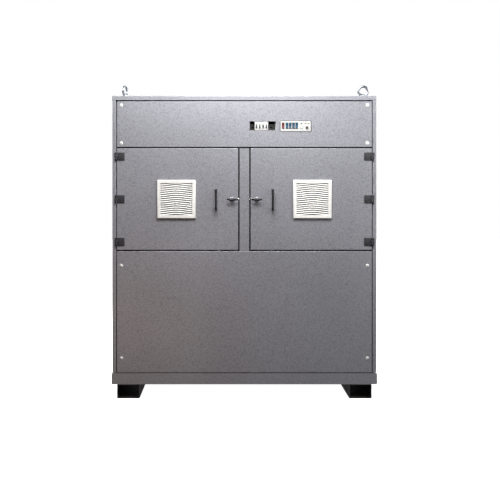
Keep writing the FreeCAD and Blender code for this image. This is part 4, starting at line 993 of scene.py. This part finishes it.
def makeRimsAndShade(name):
    # dark end strips and rims round each rocker, let into the face
    pieces = []
    y0, y1 = plateFront - 0.35 * mm, plateFront + 0.3 * mm
    for side in sides.values():
        edge = plateX + side * (plateHigh.x - plateLow.x) / 2
        x0, x1 = sorted((edge - side * 0.2 * mm, edge - side * plate["rim"]))
        pieces.append(roundBox("strip", (x0, y0, plateLow.z + 1.5 * mm), (x1, y1, plateHigh.z - 1.5 * mm),
                               0.3 * mm))
    # a wider dark strip along the top paints the shade under the plate's top edge; a thin dark strip runs
    # along the bottom
    for z0, z1 in ((plateHigh.z - plate["topShade"], plateHigh.z - 0.2 * mm),
                   (plateLow.z + 0.2 * mm, plateLow.z + 1.2 * mm)):
        pieces.append(roundBox("strip", (plateLow.x + plate["rim"], y0, z0),
                               (plateHigh.x - plate["rim"], y1, z1), 0.3 * mm))
    for offset in plate["rockers"].values():
        x = plateX + offset * mm
        outW, outH = keyHalfW + plate["frame"], keyHalfH + plate["frame"]
        rim = addBox("rim", (x - outW, y0 - 0.3 * mm, rocker["z"] - outH), (x + outW, y1, rocker["z"] + outH))
        cutWith(rim, addBox("hole", (x - keyHalfW, y0 - 2 * mm, rocker["z"] - keyHalfH),
                            (x + keyHalfW, y1 + 2 * mm, rocker["z"] + keyHalfH)))
        roundOff(rim, 0.25 * mm)
        pieces.append(rim)
    return paint(joinPieces(name, pieces), rimAndShadeDark)


def makeBezel(x, z, inner, outer):
    ring = addRound("bezel", (x, plateFront - plate["proud"] / 2, z), outer, plate["proud"], "Y", 40)
    cutWith(ring, addRound("hole", (x, plateFront, z), inner, 6 * mm, "Y", 40))
    roundOff(ring, 0.25 * mm, 2, 50)
    return paint(ring, nickelTurned)


switchFace = makePlate("switchFace")
switchRimsAndShade = makeRimsAndShade("switchRimsAndShade")
bezels = [makeBezel(plateX + offset * mm, lampZ, 3.05 * mm, 4.1 * mm) for offset in plate["lamps"]]
bezels.append(makeBezel(button["x"], button["z"], button["r"] + 0.1 * mm, button["r"] + 1.5 * mm))
bezels = joinPieces("lampBezels", bezels)
place(switchFace, "cabinet", "switch_plate", "switch_panel")
place(switchRimsAndShade, "cabinet", "switch_plate")
place(bezels, "cabinet", "switch_plate")
print("switch plate made")


def makeRocker(name, x, material):
    # a block dished along its front, its ends standing proud
    y, z, half = rocker["axisY"], rocker["z"], rocker["tall"] / 2
    x0, x1 = x - rocker["wide"] / 2 + 0.05 * mm, x + rocker["wide"] / 2 - 0.05 * mm
    key = addBox(name, (x0, y - 2.2 * mm, z - half), (x1, y + 1 * mm, z + half))
    divideEdges(key, lambda a, b: abs(a.z - b.z) > 20 * mm, 9)
    stretch = lambda face: face.normal.y > 0.9 and abs(face.calc_center_median().z - z) < 4.6 * mm
    step(key, stretch, 0, (0, 5 * mm, 0))
    for end in (-1, 1):
        frontEnd = lambda a, b: (a.y < y - 2 * mm and b.y < y - 2 * mm and abs(a.z - b.z) < touch
                                 and abs(a.z - (z + end * half)) < touch)
        bowEdges(key, frontEnd, (0, -1.3 * mm, 0), half * 1.1)
    roundOff(key, 0.5 * mm, 3, 40)
    turnPiece(key, -rocker["tilt"], "X", (x, y, z))
    return paint(key, material)


def makeTipShade(name, x):
    # a thin dark shell over a rocker's lower end: painted shade where the key tips in
    y, z, half = rocker["axisY"], rocker["z"], rocker["tall"] / 2
    x0, x1 = x - rocker["wide"] / 2 + 0.6 * mm, x + rocker["wide"] / 2 - 0.6 * mm
    tip = addBox(name, (x0, y - 3.55 * mm, z - half + 0.7 * mm), (x1, y - 2.2 * mm, z - half + 6.2 * mm))
    stretchFaces(tip, facing("Z", 1), (1, 0.4, 1), (x, y - 2.3 * mm, z))
    roundOff(tip, 0.3 * mm)
    turnPiece(tip, -rocker["tilt"], "X", (x, y, z))
    return paint(tip, rimAndShadeDark)


for node, offset in plate["rockers"].items():
    x = plateX + offset * mm
    label = node.replace("rocker_", "").replace("_", "")
    red = node == "rocker_red"
    key = makeRocker("rocker." + label, x, rockerRed if red else rockerBlue)
    # a dark shell that paints the shade on the rocker's lower end
    tip = makeTipShade("rockerTipShade." + label, x)
    place(key, node + "_key", "rocker_red" if red else "rocker_blue", node)
    place(tip, node + "_key", "rocker_red" if red else "rocker_blue")
print("rockers made")


def makeLamp(name, x, material):
    length, midY = 15 * mm + plate["thick"], (plateFront + frontY) / 2 + 6 * mm
    lamp = addRound(name, (x, midY, lampZ), plate["lamp"] - 0.05 * mm, length, "Y", 36)
    step(lamp, facing("Y", -1), 0.8 * mm, (0, -hair, 0))
    moveFaces(lamp, facing("Y", -1), (0, plateFront - 2 * mm - (midY - length / 2), 0))
    roundOff(lamp, 0.6 * mm, 4)
    return paint(lamp, material)


lenses = zip(plate["lamps"], (lensGreen, lensAmber, lensGreen))
lamps = [makeLamp("lampLens.%d" % k, plateX + offset * mm, lens)
         for k, (offset, lens) in enumerate(lenses, 1)]
for k, lamp in enumerate(lamps):
    place(lamp, "cabinet", "lamp_lens", *(["indicator_lamps"] if k == 0 else []))

buttonLow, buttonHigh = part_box("push_button")
pushButton = addRound("pushButton", (button["x"], (buttonLow.y + buttonHigh.y) / 2, button["z"]),
                      button["r"] - 0.05 * mm, buttonHigh.y - buttonLow.y, "Y", 48)
step(pushButton, facing("Y", -1), 1.4 * mm)
step(pushButton, facingNear(button["x"], button["z"], 0.2 * mm), 0.3 * mm, (0, 0.5 * mm, 0))
roundOff(pushButton, 0.35 * mm, 3)
place(paint(pushButton, buttonGrey), "button", "button_grey", "push_button")


def makeSelector(name):
    x, z, r = selector["x"], selector["z"], selector["r"]
    back = plateFront - 0.3 * mm
    skirt = addRound("skirt", (x, back - 2 * mm, z), r, 4 * mm, "Y", 48)
    stretchFaces(skirt, facing("Y", -1), (0.86, 1, 0.86), (x, back - 4 * mm, z))
    step(skirt, facing("Y", -1), 0.8 * mm, (0, 0.4 * mm, 0))
    roundOff(skirt, 0.3 * mm)
    grip = addBox("grip", (x - 2.5 * mm, plateFront - selector["out"], z - r + 1 * mm),
                  (x + 2.5 * mm, back - 3 * mm, z + r - 1 * mm))
    stretchFaces(grip, facing("Y", -1), (0.7, 1, 0.9), (x, plateFront - selector["out"], z))
    roundOff(grip, 0.7 * mm, 3)
    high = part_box("selector_knob")[1]
    shaft = addRound("shaft", (x, (back + high.y) / 2, z), 2.95 * mm, high.y - back, "Y", 24)
    step(shaft, facing("Y", 1), 0.6 * mm, (0, hair, 0))
    pointer = paint(roundBox("pointer", (x - 0.5 * mm, plateFront - selector["out"], z + 1.5 * mm),
                             (x + 0.5 * mm, back - 6 * mm, z + r * 0.78), 0.15 * mm), plateWhite)
    return paint(joinPieces(name, [skirt, grip, shaft]), selectorBrown), pointer


selectorKnob, selectorPointer = makeSelector("selectorKnob")
selectorPointer.name = "selectorPointer"
place(selectorKnob, "selector", "selector_brown", "selector_knob")
place(selectorPointer, "selector", "selector_brown")
print("lamps, button and selector made")


# ---- gap shade: black foam strips set down the gaps between the panels, the posts, the rails and the lid, as painted shade for the deep gaps
gapShade = {"deep": 18 * mm, "thick": 1.5 * mm, "clear": 0.3 * mm, "edge": 0.5 * mm}
topLow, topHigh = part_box("top_panel")
sideLow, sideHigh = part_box("side_panel_right")


def shadeStrip(low, high):
    strip = addBox("strip", [min(a, b) for a, b in zip(low, high)], [max(a, b) for a, b in zip(low, high)])
    roundOff(strip, gapShade["edge"])
    return strip


def makeGapShade(name):
    c, thick = gapShade["clear"], gapShade["thick"]
    strips = []
    sideGap = 4 * mm
    for plane, out in ((frontY + gapShade["deep"], -thick), (rearY - gapShade["deep"], thick)):
        for side in sides.values():
            strips.append(shadeStrip((side * (panelHigh.x + c), plane, panelLow.z),
                                      (side * (panelHigh.x + sideGap - c), plane + out, lidLow.z)))
        strips.append(shadeStrip((-panelHigh.x, plane, topHigh.z + c),
                                  (panelHigh.x, plane + out, lidLow.z - c)))
    front, x = frontY + gapShade["deep"], panelHigh.x
    for low, high in ((panelHigh.z, doorLow.z), (doorHigh.z, topLow.z)):
        strips.append(shadeStrip((-x, front, low + c), (x, front - thick, high - c)))
    for side in sides.values():
        strips.append(shadeStrip((side * (doorLow.x - c), front, doorLow.z),
                                  (side * (doorLow.x - 7.5 * mm + c), front - thick, doorHigh.z)))
        plane = side * (sideHigh.x - gapShade["deep"])
        out = plane + side * thick
        for y0, y1 in ((sideLow.y - sideGap, sideLow.y), (sideHigh.y, sideHigh.y + sideGap)):
            strips.append(shadeStrip((plane, y0 + c, sideLow.z), (out, y1 - c, lidLow.z)))
        strips.append(shadeStrip((plane, sideLow.y, sideHigh.z + c), (out, sideHigh.y, lidLow.z - c)))
    return paint(joinPieces(name, strips), sealAndGapShade)


# black strips that paint the shade down the gaps
place(makeGapShade("paintedGapShade"), "cabinet", "seal_foam")
print("gap shade strips made")


# ---- fan rotors: a domed hub with seven twisted blades
fan = {"hub": 30 * mm, "tip": 71 * mm, "blades": 7, "chord": 13 * mm, "thick": 1.1 * mm, "root": 52,
       "end": 30, "back": 82 * mm, "deep": 28 * mm, "slices": 6}


def makeRotor(name):
    low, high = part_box("fan_rotor_right")
    x, z = (low.x + high.x) / 2, (low.z + high.z) / 2
    back, front = frontY + fan["back"], frontY + fan["back"] - fan["deep"]
    midY = (front + back) / 2
    hub = addRound("hub", (x, midY, z), fan["hub"], fan["deep"], "Y", 64)
    stretchFaces(hub, facing("Y", -1), (0.86, 1, 0.86), (x, front, z))
    step(hub, facing("Y", -1), 7 * mm, (0, 1.6 * mm, 0))
    step(hub, facing("Y", 1), 25.9 * mm)
    step(hub, facingNear(x, z, 1 * mm, 1), 0, (0, -18 * mm, 0))
    roundOff(hub, 1.6 * mm, 4, 40)
    reach = (fan["tip"] - fan["hub"] + 4 * mm) / fan["slices"]
    start = x + fan["hub"] - 4 * mm
    blade = addBox("blade", (start - reach, midY - fan["thick"], z - fan["chord"]),
                   (start, midY + fan["thick"], z + fan["chord"]))
    turnPiece(blade, fan["root"], "X", (start, midY, z))
    twist = (fan["end"] - fan["root"]) / fan["slices"]
    tip = facing("X", 1)
    for k in range(fan["slices"]):
        step(blade, tip, 0, (reach * 0.985, 0, 0))
        pickFaces(blade, tip)
        bpy.ops.transform.rotate(value=-radians(twist), orient_axis="X", center_override=(start, midY, z))
        leaveEdit()
    roundOff(blade, 0.8 * mm, 2, 40)
    blades = [blade]
    for k in range(1, fan["blades"]):
        copy = copyPiece(blade, "blade")
        turnPiece(copy, 360 / fan["blades"] * k, "Y", (x, midY, z))
        blades.append(copy)
    return paint(joinPieces(name, [hub] + blades), fanPlastic)


placePair(makeRotor, "fanRotor", "rotor_", "fan_plastic", "fan_rotor_")
print("fan rotors made")


# ---- windings: cast barrels with rounded ends, shallow bands and tap studs in front
coil = {"outer": 135 * mm, "inner": 108 * mm, "pitch": 300 * mm, "band": 2.2 * mm,
        "taps": (-0.36, 0, 0.36), "tapHeight": 46 * mm, "tap": 9 * mm}
coilLow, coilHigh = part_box("hv_windings")
coreLow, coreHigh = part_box("transformer_core")
coreY = (coreLow.y + coreHigh.y) / 2


def makeCoil(name):
    z0, z1 = coilLow.z, coilHigh.z
    barrel = addRound("barrel", (-coil["pitch"], coreY, (z0 + z1) / 2), coil["outer"], z1 - z0, "Z", 96)
    cutWith(barrel, addRound("bore", (-coil["pitch"], coreY, (z0 + z1) / 2), coil["inner"], 1.0, "Z", 96))
    roundOff(barrel, 6 * mm, 4, 60)
    pieces = [barrel]
    for share in (0.12, 0.88):
        z = z0 + share * (z1 - z0)
        band = addRing("band", (-coil["pitch"], coreY, z), coil["outer"] - 1 * mm,
                       coil["band"] * 1.5, "Z", 96, 12)
        smooth(band, 60)
        pieces.append(band)
    for share in coil["taps"]:
        z = (z0 + z1) / 2 + share * coil["tapHeight"] * 2
        boss = addRound("boss", (-coil["pitch"], coreY - coil["outer"] - 1 * mm, z), 15 * mm, 8 * mm, "Y", 32)
        stretchFaces(boss, facing("Y", -1), (0.8, 1, 0.8), (-coil["pitch"], 0, z))
        roundOff(boss, 1.5 * mm, 3)
        pieces.append(boss)
    return paint(joinPieces(name, pieces), castResin)


def makeTaps(name):
    studs = []
    for share in coil["taps"]:
        z = (coilLow.z + coilHigh.z) / 2 + share * coil["tapHeight"] * 2
        front = coreY - coil["outer"] - 5 * mm
        nut = addRound("nut", (-coil["pitch"], front - 3 * mm, z), coil["tap"], 6 * mm, "Y", 6)
        roundOff(nut, 0.8 * mm)
        stud = addRound("stud", (-coil["pitch"], front - 6 * mm, z), 4 * mm, 14 * mm, "Y", 24)
        step(stud, facing("Y", -1), 0.8 * mm, (0, -0.5 * mm, 0))
        smooth(stud)
        studs += [nut, stud]
    return paint(joinPieces(name, studs), brassTurned)


firstCoil, firstTaps = makeCoil("castWinding.1"), makeTaps("windingTaps.1")
for k in (1, 2, 3):
    move = ((k - 1) * coil["pitch"], 0, 0)
    winding = firstCoil if k == 1 else copyPiece(firstCoil, "castWinding.%d" % k, move)
    taps = firstTaps if k == 1 else copyPiece(firstTaps, "windingTaps.%d" % k, move)
    place(winding, "cabinet", "cast_resin", *(["hv_windings"] if k == 1 else []))
    place(taps, "cabinet", "cast_resin")
print("windings made")


# ---- terminal board: laminate on two feet, with seven brass studs, hexagon nuts and tabs
board = {"half": 320 * mm, "thick": 12 * mm, "studs": 7, "pitch": 85 * mm, "stud": 6 * mm, "studUp": 45 * mm,
         "nut": 10 * mm, "nuts": ((5 * mm, 10 * mm), (17.5 * mm, 9 * mm)), "rise": 20 * mm}


def makeBoard():
    low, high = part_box("terminal_board")
    base = coreHigh.z + board["rise"]
    midY = (low.y + high.y) / 2
    plank = addBox("terminalBoard", (low.x, low.y, base), (high.x, high.y, base + board["thick"]))
    bevelEdges(plank, lambda a, b: abs(a.z - b.z) > 1 * mm, 6 * mm, 4)
    roundOff(plank, 0.8 * mm)
    feet = []
    for side in sides.values():
        x = side * (board["half"] - 40 * mm)
        feet.append(roundBox("foot", (x - 15 * mm, midY - 15 * mm, coreHigh.z),
                             (x + 15 * mm, midY + 15 * mm, base), 2 * mm, 3))
    plank = paint(joinPieces("terminalBoard", [plank] + feet), boardLaminate)
    x, top = -3 * board["pitch"], base + board["thick"]
    stud = addRound("stud", (x, midY, base + (board["studUp"] - board["thick"]) / 2), board["stud"],
                    board["studUp"] + board["thick"], "Z", 32)
    step(stud, facing("Z", 1), 1.2 * mm)
    roundOff(stud, 0.6 * mm)
    nuts = [addRound("nut", (x, midY, top + z), board["nut"], tall, "Z", 6) for z, tall in board["nuts"]]
    for nut in nuts:
        roundOff(nut, 0.9 * mm)
    tab = addBox("tab", (x - 15 * mm, midY - 25 * mm, top + 10 * mm),
                 (x + 15 * mm, midY + 25 * mm, top + 13 * mm))
    bevelEdges(tab, lambda a, b: abs(a.z - b.z) > 1 * mm, 3 * mm, 3)
    roundOff(tab, 0.4 * mm)
    first = joinPieces("terminalStuds", [stud] + nuts + [tab])
    studs = paint(spread(first, "terminalStuds", board["studs"], board["pitch"]), brassTurned)
    return plank, studs


terminalPlank, terminalStuds = makeBoard()
place(terminalPlank, "cabinet", "terminal_laminate", "terminal_board")
place(terminalStuds, "cabinet", "terminal_laminate")
print("terminal board made")


# ---- gland plate: a folded plate with three hexagon cable glands
gland = {"count": 3, "pitch": 80 * mm, "r": 20 * mm, "bore": 12.5 * mm, "below": 22 * mm}


def makeGlands():
    low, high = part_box("gland_plate")
    base = panelLow.z
    y = (low.y + high.y) / 2
    sheet = addBox("glandSheet", (low.x, low.y, base), (high.x, high.y, base + 3 * mm))
    bevelEdges(sheet, lambda a, b: abs(a.z - b.z) > 1 * mm, 8 * mm, 5)
    x = -gland["pitch"]
    body = addRound("gland", (x, y, base + 3 * mm + 7 * mm), gland["r"], 14 * mm, "Z", 6)
    roundOff(body, 1.2 * mm)
    dome = addRound("dome", (x, y, base + 3 * mm + 19 * mm), gland["r"] - 3 * mm, 10 * mm, "Z", 48)
    stretchFaces(dome, facing("Z", 1), (0.88, 0.88, 1), (x, y, 0))
    roundOff(dome, 1.2 * mm, 3)
    thread = addRound("thread", (x, y, base - gland["below"] / 2), gland["r"] - 4 * mm,
                      gland["below"], "Z", 48)
    step(thread, facing("Z", -1), 1.2 * mm, (0, 0, -hair))
    nut = addRound("locknut", (x, y, base - 4.5 * mm), gland["r"] + 2 * mm, 9 * mm, "Z", 6)
    roundOff(nut, 1.0 * mm)
    for piece in (body, dome, thread, nut):
        cutWith(piece, addRound("bore", (x, y, base), gland["bore"], 0.2, "Z", 48))
    smooth(thread)
    first = joinPieces("cableGlands", [body, dome, thread, nut])
    glands = paint(spread(first, "cableGlands", gland["count"], gland["pitch"]), nickelTurned)
    for k in range(gland["count"]):
        cutWith(sheet, addRound("bore", (x + k * gland["pitch"], y, base), gland["bore"], 0.2, "Z", 48))
    roundOff(sheet, 0.4 * mm, 2, 40)
    return paint(sheet, zincPlate), glands


glandSheet, cableGlands = makeGlands()
place(glandSheet, "cabinet", "gland_steel", "gland_plate")
place(cableGlands, "cabinet", "gland_steel")
print("gland plate made")


# ---- floor, lights and world
studio = {
    "floorGlow": 1.0, "floor": (0.35, 0.018), "ceiling": (1.0, 0.6), "blueCast": 1.02,
    "soft": {
        "key": {"from": (0.03, -1.45, 2.5), "to": (0.0, -0.38, 1.6), "size": (1.2, 0.7), "power": 67.0},
        "right": {"from": (1.7, -1.45, 1.6), "to": (0.4, -0.38, 1.2), "size": (0.7, 1.0), "power": 17.0},
        "warm": {"from": (-0.75, -2.4, 0.2), "to": (-0.3, -0.38, 0.3), "size": (0.9, 0.4), "power": 1.7,
                 "colour": "#FFC08C"},
        "top": {"from": (0.0, 0.6, 3.6), "to": (0.0, 0.0, 1.0), "size": (2.6, 2.6), "power": 12.0},
        "back": {"from": (0.0, 3.0, 2.6), "to": (0.0, 0.4, 0.9), "size": (3.0, 1.6), "power": 120.0},
        "leftSide": {"from": (-3.1, 0.7, 2.5), "to": (-0.7, 0.0, 0.9), "size": (1.6, 1.6), "power": 105.0},
        "rightSide": {"from": (3.1, 0.7, 2.5), "to": (0.7, 0.0, 0.9), "size": (1.6, 1.6), "power": 105.0}}}


def addAreaLight(name):
    soft = studio["soft"][name]
    data = bpy.data.lights.new(name + "Softbox", "AREA")
    data.shape = "RECTANGLE"
    data.size, data.size_y = soft["size"]
    data.energy = soft["power"]
    data.color = linear(soft.get("colour", "#FFFFFF"))[:3]
    light = bpy.data.objects.new(name + "Softbox", data)
    bpy.context.collection.objects.link(light)
    light.location = soft["from"]
    aim = Vector(soft["to"]) - Vector(soft["from"])
    light.rotation_euler = aim.to_track_quat("-Z", "Y").to_euler()
    light.visible_camera = False


def makeStage():
    clearSelection()
    bpy.ops.mesh.primitive_plane_add(size=40.0, location=(0, 0, -0.0005))
    floor = bpy.context.object
    floor.name = "floor"
    # plain white that glows, so that the floor fades into the background
    material, _, shader, _ = newMaterial("studioFloor")
    shader.inputs["Base Color"].default_value = linear("#F6F6F6")
    shader.inputs["Roughness"].default_value = 0.95
    shader.inputs["Emission Color"].default_value = (1, 1, 1, 1)
    shader.inputs["Emission Strength"].default_value = studio["floorGlow"]
    material.cycles.emission_sampling = "NONE"
    floor.data.materials.append(material)
    floor.visible_glossy = False
    floor.visible_diffuse = False  # the glow lights nothing, it only keeps the floor pale


def makeWorld():
    # white behind the object, and for its light a soft ramp from a dim floor to a bright ceiling
    world = bpy.data.worlds.new("studio")
    bpy.context.scene.world = world
    world.use_nodes = True
    tree = world.node_tree
    tree.nodes.clear()
    out = addNode(tree, "ShaderNodeOutputWorld")
    seen = addNode(tree, "ShaderNodeLightPath")
    coords = addNode(tree, "ShaderNodeTexCoord")
    split = addNode(tree, "ShaderNodeSeparateXYZ", {}, {"Vector": (coords, "Generated")})
    height = addNode(tree, "ShaderNodeMapRange", {"From Min": -1.0, "From Max": 1.0}, {"Value": (split, "Z")})
    ramp = addNode(tree, "ShaderNodeValToRGB", {}, {"Fac": (height, "Result")})
    for stop, (position, level) in zip(ramp.color_ramp.elements, (studio["floor"], studio["ceiling"])):
        stop.position = position
        stop.color = (level, level, level * studio["blueCast"], 1)
    soft = addNode(tree, "ShaderNodeBackground", {"Strength": 1.0}, {"Color": (ramp, "Color")})
    white = addNode(tree, "ShaderNodeBackground", {"Strength": 1.0, "Color": (1, 1, 1, 1)})
    mix = addNode(tree, "ShaderNodeMixShader", {},
                  {"Fac": (seen, "Is Camera Ray"), 1: (soft, "Background"), 2: (white, "Background")})
    tree.links.new(mix.outputs[0], out.inputs["Surface"])


makeStage()
makeWorld()
for name in studio["soft"]:
    addAreaLight(name)
bpy.context.scene.view_settings.view_transform = "Standard"
print("studio ready")
